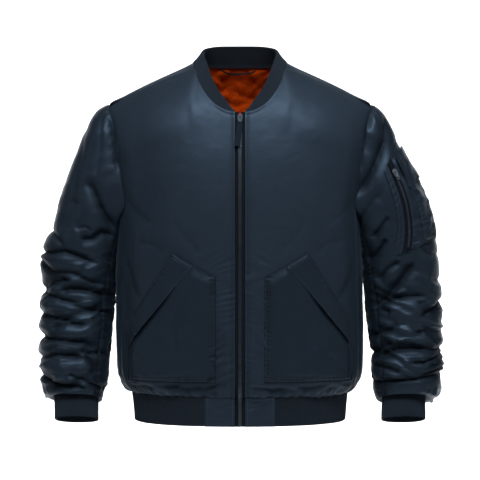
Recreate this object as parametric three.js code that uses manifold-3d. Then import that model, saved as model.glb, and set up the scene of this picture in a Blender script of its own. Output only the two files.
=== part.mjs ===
// A zip-front bomber jacket in size L, filled out and hollow, as it hangs from the shoulders.
// Millimetres, +Z up, the front faces -Y and the wearer's left is +X. The origin lies midway between
// the two shoulder tops, at the base of the neck.
import * as THREE from "three";
import { mergeVertices } from "three/addons/utils/BufferGeometryUtils.js";
import Module from "manifold-3d";

const wasm = await Module();
wasm.setup();

// ---------------------------------------------------------------- driving dimensions
const CLOTH = 1.6; // padded nylon shell, outer cloth and its backing
const RIB = 3; // doubled rib knit
const PATCH = 1.2; // pocket cloth
const TAPE = 1; // zip tape
const SEAM = 0.4; // gap that stands for a sewn seam
const LIFT = 0.8; // gap under a pocket that lies on a panel

const HEM_Z = -598; // where the shell meets the hem rib
const CHEST_Z = -265; // where the side panel ends and the armhole begins
const UNDERARM_Z = -300; // lowest point of the armhole
const SHOULDER_X = 241; // shoulder tip
const FRONT_EDGE_X = 9; // front edge of each front panel, beside the zip
const SIDE_SHARE = 0.925; // side seams and armholes run at this share of the half width
const SIDE_ANGLE = 65.1; // the same line as an angle round the section, from the centre front
const SECTION_POWER = 2.5; // how square the body's sections are
const RIDGE_POWER = 1.6; // how square the shoulder's fall is
const RIDGE_FALL = 110; // height over which the shoulders round off

// Body sections: height, half width, depth in front of and behind the shoulder line.
const BODY = [
  { z: -598, wide: 200, front: 124, back: 118 },
  { z: -592, wide: 211, front: 129, back: 124 },
  { z: -578, wide: 222, front: 133, back: 129 },
  { z: -560, wide: 227, front: 134, back: 130 },
  { z: -520, wide: 229, front: 133, back: 128 },
  { z: -440, wide: 228, front: 132, back: 124 },
  { z: -360, wide: 226, front: 131, back: 121 },
  { z: -290, wide: 223, front: 129, back: 121 },
  { z: -230, wide: 226, front: 125, back: 123 },
  { z: -170, wide: 234, front: 117, back: 124 },
  { z: -110, wide: 249, front: 104, back: 119 },
  { z: -60, wide: 264, front: 92, back: 108 },
  { z: 0, wide: 270, front: 86, back: 100 },
  { z: 36, wide: 270, front: 84, back: 96 },
];

// The shoulder line: height at each distance from the centre.
const RIDGE = [
  { x: 0, z: 36 },
  { x: 40, z: 28 },
  { x: 80, z: 9 },
  { x: 98, z: 0 },
  { x: 158, z: -27 },
  { x: 205, z: -50 },
  { x: 241, z: -71 },
];

// The neck: a ring round the wearer's neck, low at the front.
const NECK = { wide: 87, front: 97, back: 80, power: 2.4, side: 7, frontDrop: 102, backRise: 5 };

// The collar: how far its top edge lies inside and above its base, by angle from the centre front.
const COLLAR = [
  { angle: 6, inward: 7, up: 5 },
  { angle: 16, inward: 9, up: 20 },
  { angle: 33, inward: 14, up: 29 },
  { angle: 53, inward: 19, up: 32 },
  { angle: 72, inward: 19, up: 26 },
  { angle: 90, inward: 18, up: 23 },
  { angle: 122, inward: 13, up: 30 },
  { angle: 152, inward: 8, up: 35 },
  { angle: 180, inward: 6, up: 36 },
];

// Where the lattice of each panel has its rows, as shares of the height, and its columns.
const LOWER_ROWS = [0, 0.018, 0.06, 0.12, 0.22, 0.36, 0.52, 0.68, 0.84, 1];
const UPPER_ROWS = [0.2, 0.4, 0.58, 0.74, 0.87, 0.95, 1];
const FRONT_TOP_X = [9, 24, 40, 55, 67, 76, 83, 110, 145, 180, 212, 241];
const FRONT_NECK_COLUMNS = 7;
const BACK_TOP_X = [0, 30, 55, 72, 84, 110, 145, 180, 212, 241];
const BACK_NECK_COLUMNS = 5;
const WRAP_ANGLES = [65.1, 78, 90, 102];
const SEAM_DROP = { neck: 12, tip: 5 }; // shoulder seam below the ridge, on the front side

// The sleeve from the armhole to the cuff: the outer and inner points seen from the front, the
// middle's place and half depth front to back, and the forward tilt in degrees.
const SLEEVE = [
  { outerX: 262, outerZ: -85, innerX: 216, innerZ: -285, y: 2, deep: 76, tilt: 0 },
  { outerX: 277, outerZ: -112, innerX: 213, innerZ: -305, y: 3, deep: 77, tilt: 0 },
  { outerX: 291, outerZ: -141, innerX: 212, innerZ: -312, y: 4, deep: 77, tilt: 0 },
  { outerX: 314, outerZ: -185, innerX: 212, innerZ: -320, y: 5, deep: 77, tilt: 0 },
  { outerX: 333, outerZ: -226, innerX: 213, innerZ: -330, y: 6, deep: 76, tilt: 0 },
  { outerX: 348, outerZ: -261, innerX: 216, innerZ: -342, y: 7, deep: 75, tilt: 0 },
  { outerX: 358, outerZ: -293, innerX: 219, innerZ: -355, y: 8, deep: 75, tilt: 0 },
  { outerX: 363, outerZ: -325, innerX: 222, innerZ: -371, y: 8, deep: 74, tilt: 0 },
  { outerX: 366, outerZ: -360, innerX: 226, innerZ: -390, y: 7, deep: 73, tilt: 1 },
  { outerX: 368, outerZ: -400, innerX: 229, innerZ: -418, y: 4, deep: 72, tilt: 4 },
  { outerX: 370, outerZ: -440, innerX: 232, innerZ: -448, y: -1, deep: 71, tilt: 8 },
  { outerX: 371, outerZ: -480, innerX: 235, innerZ: -481, y: -8, deep: 69, tilt: 12 },
  { outerX: 372, outerZ: -515, innerX: 237, innerZ: -515, y: -17, deep: 67, tilt: 15 },
  { outerX: 371, outerZ: -545, innerX: 239, innerZ: -545, y: -26, deep: 65, tilt: 17 },
  { outerX: 370, outerZ: -570, innerX: 240, innerZ: -570, y: -33, deep: 62, tilt: 19 },
  { outerX: 366, outerZ: -590, innerX: 243, innerZ: -590, y: -38, deep: 58, tilt: 20 },
  { outerX: 359, outerZ: -604, innerX: 247, innerZ: -604, y: -42, deep: 50, tilt: 21 },
  { outerX: 350, outerZ: -611, innerX: 251, innerZ: -611, y: -45, deep: 41, tilt: 21 },
];
const SLEEVE_POWER = 2.2;
const SLEEVE_BLEND = 4; // stations over which the armhole turns into the sleeve's own section
const UNDER_ANGLE = 38; // the under sleeve reaches this far to each side of the inner line
const BODY_CLEARANCE = 4.5; // sleeve to body
const ARMHOLE_SEAM = new THREE.Vector3(2.6, 0, -0.8); // from the body's edge to the sleeve's

// The folds that bunch the lower sleeve: height at the outer edge and depth, for each arm.
const FOLDS = {
  left: [
    { z: -394, depth: 9 },
    { z: -446, depth: 4 },
    { z: -492, depth: 9 },
    { z: -544, depth: 9 },
    { z: -583, depth: 7 },
  ],
  right: [
    { z: -405, depth: 9 },
    { z: -450, depth: 8 },
    { z: -501, depth: 9 },
    { z: -545, depth: 5 },
    { z: -579, depth: 8 },
  ],
};
const FOLD_SWELL = 3; // how far the cloth swells between two folds

// The cuff: a slightly flattened tube that leans forward.
const CUFF = {
  top: new THREE.Vector3(297, -44, -598),
  bottom: new THREE.Vector3(294, -62, -645),
  wide: 39,
  deep: 27,
  tilt: 21,
  overlap: 0.12, // share of the cuff that the sleeve's end covers
};
const AROUND = 18; // facets round a sleeve or cuff

const HEM = {
  top: { z: HEM_Z - SEAM, wide: 199, front: 123, back: 117 },
  bottom: { z: -650, wide: 194, front: 119, back: 113 },
  tabX: 62,
};

// Hand pockets: the patch's corners and the slanted opening, on the wearer's left.
const POCKET = {
  frontX: 42,
  bottomZ: -572,
  frontTopZ: -387,
  slitTop: { x: 82, z: -366 },
  slitEnd: { x: 194, z: -506 },
  columns: [42, 55, 68, 82, 98, 114, 130, 146, 162, 178, 194, 199],
};
const FLAP = { topCut: { x: 37, z: 21 }, endCut: { x: -3, z: 48 }, proud: 0.6 };

// Zips: half widths of the chain and of the tapes, and how thick the chain is.
const ZIP = { chainHalf: 2.3, tapeFrom: 2.6, tapeTo: 8.7, chain: 2.6, proud: 0.5, top: -103 };
const SLEEVE_ZIP = { chainHalf: 1.9, tapeFrom: 2.2, tapeTo: 7, chain: 2.2, lift: 3.1 };
const RIBBON = { width: 9.5, length: 45, thick: 1.2, lean: 5 };

const NAVY = { color: 0x262e39, roughness: 0.42, metalness: 0 };
const KNIT = { color: 0x161c24, roughness: 0.9, metalness: 0 };
const ORANGE = { color: 0x9a3d12, roughness: 0.5, metalness: 0 };
const ZIP_TAPE = { color: 0x1a2028, roughness: 0.8, metalness: 0 };
const METAL = { color: 0x565c64, roughness: 0.35, metalness: 0.9 };

const jacket = new THREE.Group();

function addPiece(name, geometry, finish, parent = jacket) {
  const mesh = new THREE.Mesh(geometry, new THREE.MeshStandardMaterial(finish));
  mesh.name = name;
  parent.add(mesh);
}

// ---------------------------------------------------------------- small maths
const mix = (a, b, share) => a + (b - a) * share;
const clamp = (value, low, high) => Math.min(Math.max(value, low), high);
const smooth = (share) => share * share * (3 - 2 * share);
const radians = THREE.MathUtils.degToRad;
const signedPower = (value, power) => Math.sign(value) * Math.abs(value) ** power;

// The height of a superellipse of size 1 at a share of its width.
const roundOff = (share, power) => (1 - clamp(share, 0, 1) ** power) ** (1 / power);

// A smooth curve through one column of a table whose key column rises or falls all the way.
function tableAt(table, key, column, at) {
  const rising = table[1][key] > table[0][key] ? 1 : -1;
  const last = table.length - 1;
  let row = 0;
  while (row < last - 1 && (at - table[row + 1][key]) * rising > 0) row++;
  const slope = (index) => {
    const before = table[Math.max(index - 1, 0)];
    const after = table[Math.min(index + 1, last)];
    return (after[column] - before[column]) / (after[key] - before[key]);
  };
  const from = table[row];
  const to = table[row + 1];
  const span = to[key] - from[key];
  const t = clamp((at - from[key]) / span, 0, 1);
  const rise = slope(row) * span * (t * t * t - 2 * t * t + t);
  const ease = slope(row + 1) * span * (t * t * t - t * t);
  return mix(from[column], to[column], smooth(t)) + rise + ease;
}

// ---------------------------------------------------------------- building with cloth
function geometryFrom(points, faces) {
  const positions = faces.flat().flatMap((index) => points[index].toArray());
  const geometry = new THREE.BufferGeometry();
  geometry.setAttribute("position", new THREE.Float32BufferAttribute(positions, 3));
  geometry.computeVertexNormals();
  return geometry;
}

// A cloth wall. Its outer face runs through rows of points, and its inner face lies a thickness
// behind. Rows climb while columns run to the right, seen from outside. keep() leaves cells out, and
// a cell left out still turns the normals beside it when joined is set, as two sewn pieces do.
function clothWall(rows, thickness, { loop = false, joined = false, keep = () => true } = {}) {
  const count = rows[0].length;
  const outer = rows.flat();
  const faces = [];
  const leftOut = [];
  for (let row = 0; row + 1 < rows.length; row++) {
    for (let column = 0; column < (loop ? count : count - 1); column++) {
      const a = row * count + column;
      const b = row * count + ((column + 1) % count);
      const list = keep(row, column) ? faces : leftOut;
      list.push([a, b, b + count], [a, b + count, a + count]);
    }
  }
  const normals = outer.map(() => new THREE.Vector3());
  for (const [a, b, c] of joined ? [...faces, ...leftOut] : faces) {
    const side = outer[b].clone().sub(outer[a]);
    const facing = side.cross(outer[c].clone().sub(outer[a])).normalize();
    for (const index of [a, b, c]) normals[index].add(facing);
  }
  const inner = outer.map((point, index) =>
    point.clone().addScaledVector(normals[index].normalize(), -thickness),
  );
  const total = outer.length;
  const edges = new Set(faces.flatMap(([a, b, c]) => [`${a},${b}`, `${b},${c}`, `${c},${a}`]));
  const rim = [];
  for (const edge of edges) {
    const [from, to] = edge.split(",").map(Number);
    if (edges.has(`${to},${from}`)) continue;
    rim.push([to, from, from + total], [to, from + total, to + total]);
  }
  const back = faces.map(([a, b, c]) => [a + total, c + total, b + total]);
  return geometryFrom([...outer, ...inner], [...faces, ...back, ...rim]);
}

// The same rows on the wearer's right.
const mirrored = (rows) =>
  rows.map((row) => row.map((point) => new THREE.Vector3(-point.x, point.y, point.z)).reverse());

// Rows moved in or out along the cloth's own normals.
function moved(rows, distance) {
  return rows.map((row, r) =>
    row.map((point, c) => {
      const below = rows[Math.max(r - 1, 0)][c];
      const above = rows[Math.min(r + 1, rows.length - 1)][c];
      const across = row[Math.min(c + 1, row.length - 1)].clone().sub(row[Math.max(c - 1, 0)]);
      const normal = across.cross(above.clone().sub(below)).normalize();
      return point.clone().addScaledVector(normal, distance);
    }),
  );
}

// ---------------------------------------------------------------- the body's form
const ridgeZ = (x) => tableAt(RIDGE, "x", "z", Math.abs(x));
const halfWidth = (z) => tableAt(BODY, "z", "wide", z);
const depthColumn = (side) => (side < 0 ? "front" : "back");

// Depth before the shoulders round it off; side is -1 for the front and +1 for the back.
function fullDepth(x, z, side) {
  const depth = tableAt(BODY, "z", depthColumn(side), z);
  return side * depth * roundOff(Math.abs(x) / halfWidth(z), SECTION_POWER);
}

function bodyY(x, z, side) {
  const below = clamp((ridgeZ(x) - z) / RIDGE_FALL, 0, 1);
  return fullDepth(x, z, side) * roundOff(1 - below, RIDGE_POWER);
}

// A point round the body at an angle from the centre front, on the wearer's left.
function wrapPoint(angle, z) {
  const turn = radians(angle);
  const side = angle < 90 ? -1 : 1;
  const depth = tableAt(BODY, "z", depthColumn(side), z);
  const power = 2 / SECTION_POWER;
  return new THREE.Vector3(
    halfWidth(z) * Math.sin(turn) ** power,
    side * depth * Math.abs(Math.cos(turn)) ** power,
    z,
  );
}

// The side panel's upper edge dips to the underarm.
function wrapTopZ(angle) {
  const share = Math.abs(Math.cos(radians(angle))) / Math.cos(radians(SIDE_ANGLE));
  return UNDERARM_Z + (CHEST_Z - UNDERARM_Z) * share ** 1.6;
}

// A point on the shoulder's round top; reach runs from 0 on the ridge to +-1 at full depth.
function ridgePoint(x, reach) {
  const fall = RIDGE_FALL * (1 - roundOff(Math.abs(reach), RIDGE_POWER));
  const z = ridgeZ(x) - fall;
  return new THREE.Vector3(x, Math.abs(reach) * fullDepth(x, z, Math.sign(reach) || 1), z);
}

const seamDrop = (x) => mix(SEAM_DROP.neck, SEAM_DROP.tip, (x - NECK.wide) / (SHOULDER_X - NECK.wide));

// The neck ring at an angle from the centre front.
function neckPoint(angle) {
  const turn = radians(angle);
  const power = 2 / NECK.power;
  const ahead = Math.cos(turn);
  const depth = ahead > 0 ? NECK.front : NECK.back;
  const drop = ahead > 0 ? NECK.frontDrop : NECK.backRise;
  return new THREE.Vector3(
    NECK.wide * Math.abs(Math.sin(turn)) ** power,
    -depth * signedPower(ahead, power),
    NECK.side - drop * signedPower(ahead, 1.5),
  );
}

function neckAngle(x, side) {
  const angle = THREE.MathUtils.radToDeg(Math.asin((x / NECK.wide) ** (NECK.power / 2)));
  return side < 0 ? angle : 180 - angle;
}

// One column of a panel above the chest line, from the chest to a given top point.
function upperColumn(lowX, top, side) {
  const miss = top.y - bodyY(top.x, top.z, side);
  return UPPER_ROWS.map((share) => {
    const x = mix(lowX, top.x, share ** 1.5);
    const z = mix(CHEST_Z, top.z, share);
    return new THREE.Vector3(x, bodyY(x, z, side) + miss * share ** 4, z);
  });
}

const lowerZ = (top) => LOWER_ROWS.map((share) => mix(HEM_Z, top, share));
const turned = (columns) => columns[0].map((_, row) => columns.map((column) => column[row]));

// ---------------------------------------------------------------- fronts, back and lining
function frontRows() {
  const last = FRONT_TOP_X.length - 1;
  const columns = FRONT_TOP_X.map((topX, index) => {
    const columnX = (z) => mix(FRONT_EDGE_X, SIDE_SHARE * halfWidth(z), index / last);
    const lower = lowerZ(CHEST_Z).map((z) => {
      const x = columnX(z);
      return new THREE.Vector3(x, bodyY(x, z, -1), z);
    });
    const seamZ = ridgeZ(topX) - seamDrop(topX);
    const seam = new THREE.Vector3(topX, bodyY(topX, seamZ, -1), seamZ);
    const top = index < FRONT_NECK_COLUMNS ? neckPoint(neckAngle(topX, -1)) : seam;
    return [...lower, ...upperColumn(columnX(CHEST_Z), top, -1)];
  });
  return turned(columns);
}

// The back reaches over the shoulders to the front seams and round both sides to the side seams.
const OVER_REACH = [0.1, -0.1];
const OVER_ANGLES = [95, 82];

function backColumn(topX, index) {
  const last = BACK_TOP_X.length - 1;
  const columnX = (z) => (SIDE_SHARE * halfWidth(z) * index) / last;
  const lower = lowerZ(CHEST_Z).map((z) => {
    const x = columnX(z);
    return new THREE.Vector3(x, bodyY(x, z, 1), z);
  });
  const onNeck = index < BACK_NECK_COLUMNS;
  const top = onNeck ? neckPoint(neckAngle(topX, 1)) : ridgePoint(topX, 0.3);
  const seamReach = roundOff(1 - (seamDrop(topX) - SEAM) / RIDGE_FALL, RIDGE_POWER);
  const seamAngle = neckAngle(FRONT_TOP_X[FRONT_NECK_COLUMNS - 1], -1) + 0.6;
  const over = onNeck
    ? [...OVER_ANGLES, seamAngle].map(neckPoint)
    : [...OVER_REACH, -seamReach].map((reach) => ridgePoint(topX, reach));
  return [...lower, ...upperColumn(columnX(CHEST_Z), top, 1), ...over];
}

function wrapColumn(angle, index) {
  const seamTurn = index === 0 ? 0.25 : 0;
  const spare = UPPER_ROWS.length + OVER_REACH.length + 1;
  const lower = lowerZ(wrapTopZ(angle)).map((z) => wrapPoint(angle + seamTurn, z));
  return [...lower, ...Array(spare).fill(lower.at(-1))];
}

const onRight = (columns) =>
  columns.map((column) => column.map((point) => new THREE.Vector3(-point.x, point.y, point.z)));

function backPanel() {
  const wraps = WRAP_ANGLES.map(wrapColumn);
  const panel = BACK_TOP_X.map(backColumn);
  const fromLeft = [...wraps, ...[...panel].reverse()];
  const columns = [...fromLeft, ...onRight([...fromLeft].reverse().slice(1))];
  const middle = fromLeft.length - 1;
  const mainRows = LOWER_ROWS.length + UPPER_ROWS.length - 1;
  const keep = (row, column) => {
    const out = Math.max(Math.abs(column - middle), Math.abs(column + 1 - middle));
    const near = Math.min(Math.abs(column - middle), Math.abs(column + 1 - middle));
    if (row < LOWER_ROWS.length - 1) return true;
    if (out >= BACK_TOP_X.length) return false;
    return row < mainRows || near >= BACK_NECK_COLUMNS - 1;
  };
  return { rows: turned(columns), keep, middle, mainRows };
}

const front = frontRows();
addPiece("front_left", clothWall(front, CLOTH), NAVY);
addPiece("front_right", clothWall(mirrored(front), CLOTH), NAVY);

const back = backPanel();
addPiece("back", clothWall(back.rows, CLOTH, { keep: back.keep }), NAVY);

// The orange lining shows inside the back, through the neck.
const liningHalf = BACK_TOP_X.length - 2;
const liningRows = back.rows
  .slice(1, back.mainRows + 1)
  .map((row) => row.slice(back.middle - liningHalf, back.middle + liningHalf + 1));
addPiece("lining_back", clothWall(moved(liningRows, -CLOTH - SEAM), 1), ORANGE);

// ---------------------------------------------------------------- sleeves
// The armhole at an angle round the sleeve: 0 at the underarm, 90 in front, 180 at the shoulder.
const ARMHOLE_TURN = 48;

function armholePoint(around) {
  const fold = around <= 180 ? around : 360 - around;
  const side = around <= 180 ? -1 : 1;
  if (fold < ARMHOLE_TURN) {
    const angle = mix(90, SIDE_ANGLE, fold / ARMHOLE_TURN);
    return wrapPoint(side < 0 ? angle : 180 - angle, wrapTopZ(angle));
  }
  const climb = Math.sin((radians(90) * (fold - ARMHOLE_TURN)) / (180 - ARMHOLE_TURN));
  const z = mix(CHEST_Z, ridgeZ(SHOULDER_X), climb);
  const x = mix(SIDE_SHARE * halfWidth(CHEST_Z), SHOULDER_X, climb ** 1.5);
  return new THREE.Vector3(x, bodyY(x, z, side), z);
}

const stationRows = SLEEVE.map((row, index) => ({ ...row, index }));
const sleeveAt = (column, station) => tableAt(stationRows, "index", column, station);
const stationAtZ = (z) => tableAt(stationRows, "outerZ", "index", z);

// How far the folds draw the cloth in at a height of the outer edge.
function foldIn(folds, z) {
  const gather = smooth(clamp((-350 - z) / 40, 0, 1));
  const dips = folds.reduce((sum, fold) => sum + fold.depth * Math.exp(-(((z - fold.z) / 11) ** 2)), 0);
  return dips - FOLD_SWELL * gather;
}

// A point of the wearer's left sleeve at a station and an angle round it.
function sleevePoint(folds, station, around) {
  const turn = radians(around);
  const outer = new THREE.Vector3(sleeveAt("outerX", station), 0, sleeveAt("outerZ", station));
  const inner = new THREE.Vector3(sleeveAt("innerX", station), 0, sleeveAt("innerZ", station));
  const centre = outer.clone().add(inner).multiplyScalar(0.5);
  centre.y = sleeveAt("y", station);
  const across = outer.clone().sub(inner).multiplyScalar(0.5);
  const tilt = radians(sleeveAt("tilt", station));
  const forward = new THREE.Vector3(0, -Math.cos(tilt), Math.sin(tilt));
  const outward = Math.max(0, -Math.cos(turn));
  const drawn = foldIn(folds, outer.z) * (0.35 + 0.65 * outward);
  const shrink = 1 - drawn / across.length();
  const power = 2 / SLEEVE_POWER;
  const point = centre
    .addScaledVector(across, -signedPower(Math.cos(turn), power) * shrink)
    .addScaledVector(forward, sleeveAt("deep", station) * signedPower(Math.sin(turn), power) * shrink);
  const start = armholePoint(around).add(ARMHOLE_SEAM);
  const own = smooth(clamp(station / SLEEVE_BLEND, 0, 1));
  point.lerpVectors(start, point, own);
  const clear = mix(2, BODY_CLEARANCE, clamp(station, 0, 1));
  if (point.z > HEM_Z) {
    const depth = tableAt(BODY, "z", depthColumn(point.y), point.z);
    const side = halfWidth(point.z) * roundOff(Math.abs(point.y) / depth, SECTION_POWER) + clear;
    if (point.z < UNDERARM_Z + 30) point.x = Math.max(point.x, side);
  }
  return point;
}

// A point of the cuff's outline, at a share of its length, standing out by some distance.
function cuffPoint(share, around, out) {
  const tilt = radians(CUFF.tilt);
  const forward = new THREE.Vector3(0, -Math.cos(tilt), Math.sin(tilt));
  const turn = radians(around);
  const point = CUFF.top.clone().lerp(CUFF.bottom, share);
  point.x -= (CUFF.wide + out) * signedPower(Math.cos(turn), 2 / SLEEVE_POWER);
  return point.addScaledVector(forward, (CUFF.deep + out) * signedPower(Math.sin(turn), 2 / SLEEVE_POWER));
}

// Rings sit on each fold and midway between folds, so that the facets follow them.
function ringStations(folds) {
  const upper = [0, 1, 2, 3, 4, 5, 6, 7, 8];
  const lower = folds.flatMap((fold, index) => {
    const next = folds[index + 1];
    return next ? [fold.z, mix(fold.z, next.z, 0.5)] : [fold.z];
  });
  return [...upper, ...lower.map(stationAtZ), SLEEVE.length - 2, SLEEVE.length - 1];
}

// Half the gap between upper and under sleeve in degrees: wider in the tight folds of the armpit.
const UNDER_SEAM = { armpit: 1.3, arm: 0.4 };
const UNDER_CELLS = 4;
const UPPER_CELLS = AROUND - UNDER_CELLS;

const evenly = (from, to, cells) =>
  Array.from({ length: cells + 1 }, (_, index) => mix(from, to, index / cells));

// Columns run down from one angle to the next, so that the rows can go down the arm. The upper
// sleeve's columns come first, then the under sleeve's.
function sleeveAngles(station) {
  const open = mix(UNDER_SEAM.armpit, UNDER_SEAM.arm, clamp(station / SLEEVE_BLEND, 0, 1));
  const high = UNDER_ANGLE + open;
  const low = UNDER_ANGLE - open;
  const angles = [...evenly(360 - high, high, UPPER_CELLS), ...evenly(low, -low, UNDER_CELLS)];
  return angles.map((angle) => (angle + 360) % 360);
}

function sleeveRows(folds) {
  const rows = ringStations(folds).map((station) =>
    sleeveAngles(station).map((angle) => sleevePoint(folds, station, angle)),
  );
  rows.push(sleeveAngles(SLEEVE_BLEND).map((angle) => cuffPoint(CUFF.overlap, angle, SEAM)));
  return rows;
}

for (const arm of ["left", "right"]) {
  const place = arm === "left" ? (rows) => rows : mirrored;
  const rows = sleeveRows(FOLDS[arm]);
  const count = rows[0].length;
  const cells = arm === "left" ? (column) => column : (column) => (2 * count - 2 - column) % count;
  const wallOf = (keep) => clothWall(place(rows), CLOTH, { loop: true, joined: true, keep });
  const upper = (_, column) => cells(column) < UPPER_CELLS;
  const under = (_, column) => cells(column) > UPPER_CELLS && cells(column) < count - 1;
  addPiece(`sleeve_${arm}_upper`, wallOf(upper), NAVY);
  addPiece(`sleeve_${arm}_under`, wallOf(under), NAVY);
  const cuffAngles = Array.from({ length: AROUND }, (_, index) => 360 - (index * 360) / AROUND);
  const cuff = [0, 0.4, 0.7, 1].map((share) => cuffAngles.map((angle) => cuffPoint(share, angle, 0)));
  addPiece(`cuff_${arm}`, clothWall(place(cuff), RIB, { loop: true }), KNIT);
}

// ---------------------------------------------------------------- collar and hem
const COLLAR_GAP = 3; // clear of the neck edge, at the base
const COLLAR_ANGLES = [5, 10, 16, 24, 33, 43, 53, 63, 72, 81, 90, 102, 114, 127, 140, 153, 166, 180];
const COLLAR_SHARES = [0, 0.3, 0.65, 0.9, 1];

function collarColumn(angle) {
  const base = neckPoint(angle);
  const inward = new THREE.Vector3(base.x, base.y, 0).normalize();
  const rise = tableAt(COLLAR, "angle", "up", angle);
  const lean = tableAt(COLLAR, "angle", "inward", angle);
  return COLLAR_SHARES.map((share) => {
    const point = base.clone().addScaledVector(inward, -lean * share ** 0.8);
    point.z += COLLAR_GAP + (rise - COLLAR_GAP) * share;
    return point;
  });
}

function collarRows() {
  const half = COLLAR_ANGLES.map(collarColumn);
  return turned([...half, ...onRight([...half].reverse().slice(1))]);
}
addPiece("collar_rib", clothWall(collarRows(), RIB), KNIT);

// The hem's section at a share of the way down from the shell.
const hemSection = (share) => ({
  z: mix(HEM.top.z, HEM.bottom.z, share),
  wide: mix(HEM.top.wide, HEM.bottom.wide, share),
  front: mix(HEM.top.front, HEM.bottom.front, share),
  back: mix(HEM.top.back, HEM.bottom.back, share),
});

function hemAround(share, angle) {
  const { z, wide, front: ahead, back: behind } = hemSection(share);
  const turn = radians(angle);
  const power = 2 / SECTION_POWER;
  const depth = Math.cos(turn) > 0 ? ahead : behind;
  const x = wide * signedPower(Math.sin(turn), power);
  return new THREE.Vector3(x, -depth * signedPower(Math.cos(turn), power), z);
}

function hemInFront(share, x) {
  const { z, wide, front: ahead } = hemSection(share);
  return new THREE.Vector3(x, -ahead * roundOff(Math.abs(x) / wide, SECTION_POWER), z);
}

const HEM_SHARES = [1, 0.66, 0.33, 0];
const HEM_CELLS = 26;
const hemStart = THREE.MathUtils.radToDeg(Math.asin((HEM.tabX / HEM.top.wide) ** (SECTION_POWER / 2)));
const hemAngles = evenly(hemStart, 360 - hemStart, HEM_CELLS);
const hemRows = HEM_SHARES.map((share) => hemAngles.map((angle) => hemAround(share, angle)));
addPiece("hem_rib", clothWall(hemRows, RIB), KNIT);

const TAB_CLOTH = 2.2; // two layers
const TAB_GAP = 2.2; // between a hem tab's cloth and the rib
const tabRows = HEM_SHARES.map((share) =>
  evenly(FRONT_EDGE_X, HEM.tabX - TAB_GAP, 4).map((x) => hemInFront(share, x)),
);
addPiece("hem_tab_left", clothWall(tabRows, TAB_CLOTH), NAVY);
addPiece("hem_tab_right", clothWall(mirrored(tabRows), TAB_CLOTH), NAVY);

// ---------------------------------------------------------------- hand pockets
function onFront(x, z, lift) {
  const step = 1;
  const y = bodyY(x, z, -1);
  const alongX = new THREE.Vector3(step, bodyY(x + step, z, -1) - y, 0);
  const alongZ = new THREE.Vector3(0, bodyY(x, z + step, -1) - y, step);
  return new THREE.Vector3(x, y, z).addScaledVector(alongX.cross(alongZ).normalize(), lift);
}

function slitZ(x) {
  const { slitTop, slitEnd, frontX, frontTopZ } = POCKET;
  if (x < slitTop.x) return mix(frontTopZ, slitTop.z, (x - frontX) / (slitTop.x - frontX));
  return mix(slitTop.z, slitEnd.z, (x - slitTop.x) / (slitEnd.x - slitTop.x));
}

const pocketShares = [0, 0.09, 0.2, 0.35, 0.5, 0.65, 0.8, 0.9, 1];
const pocketRows = pocketShares.map((share) =>
  POCKET.columns.map((x) => onFront(x, mix(POCKET.bottomZ, slitZ(x) - SEAM, share), LIFT + PATCH)),
);

// The flap is a strip along the opening, on its upper and outer side.
const FLAP_CELLS = 10;
const flapRows = evenly(0, 1, 4).map((across) =>
  evenly(0, 1, FLAP_CELLS).map((share) => {
    const { slitTop, slitEnd } = POCKET;
    const outX = mix(FLAP.topCut.x, FLAP.endCut.x, share) * across;
    const outZ = mix(FLAP.topCut.z, FLAP.endCut.z, share) * across;
    return onFront(
      mix(slitTop.x, slitEnd.x, share) + outX,
      mix(slitTop.z, slitEnd.z, share) + outZ,
      LIFT + PATCH + FLAP.proud,
    );
  }),
);

for (const arm of ["left", "right"]) {
  const place = arm === "left" ? (rows) => rows : mirrored;
  addPiece(`pocket_${arm}`, clothWall(place(pocketRows), PATCH), NAVY);
  addPiece(`pocket_flap_${arm}`, clothWall(place(flapRows), PATCH), NAVY);
}

// ---------------------------------------------------------------- front zip
const zipLine = [
  hemInFront(1, FRONT_EDGE_X),
  hemInFront(0.5, FRONT_EDGE_X),
  ...front.map((row) => row[0].clone()),
];
const zipRows = (from, to, lift) =>
  zipLine.map((point) => [from, to].map((x) => new THREE.Vector3(x, point.y - lift, point.z)));
const tapeRows = zipRows(ZIP.tapeFrom, ZIP.tapeTo, -ZIP.proud);
addPiece("zip_tape_left", clothWall(tapeRows, TAPE), ZIP_TAPE);
addPiece("zip_tape_right", clothWall(mirrored(tapeRows), TAPE), ZIP_TAPE);

const zipSurfaceY = (z) => tableAt(zipLine, "z", "y", z);
const chainLine = zipRows(-ZIP.chainHalf, ZIP.chainHalf, ZIP.proud).filter(([point]) => point.z < ZIP.top);
const chainTopY = zipSurfaceY(ZIP.top) - ZIP.proud;
chainLine.push([-ZIP.chainHalf, ZIP.chainHalf].map((x) => new THREE.Vector3(x, chainTopY, ZIP.top)));
addPiece("zip_chain", clothWall(chainLine, ZIP.chain), METAL);

// ---------------------------------------------------------------- sliders and pull tabs
// In a slider's own frame the chain's middle plane is y = 0 and its end z = 0; -y faces out.
const SLIDER = {
  plate: 1.1,
  clear: 0.4,
  topHalf: 4.6,
  lowHalf: 3.6,
  above: 3.6,
  below: 10,
  neckHalf: 1.5,
  waist: -2,
  chamfer: 0.8,
};
const BRIDGE = { inner: 1.1, outer: 2.1, wide: 1.2, z: -2.5, height: 1.3 };
const TAB = { half: 2.5, thick: 1, windowHalf: 1.2, windowFrom: 0.5, windowTo: 2.9 };

function solidFrom(geometry) {
  const bare = geometry.clone();
  bare.deleteAttribute("normal");
  bare.deleteAttribute("uv");
  const merged = mergeVertices(bare);
  return new wasm.Manifold(
    new wasm.Mesh({
      numProp: 3,
      vertProperties: merged.attributes.position.array,
      triVerts: merged.index.array,
    }),
  );
}

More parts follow.
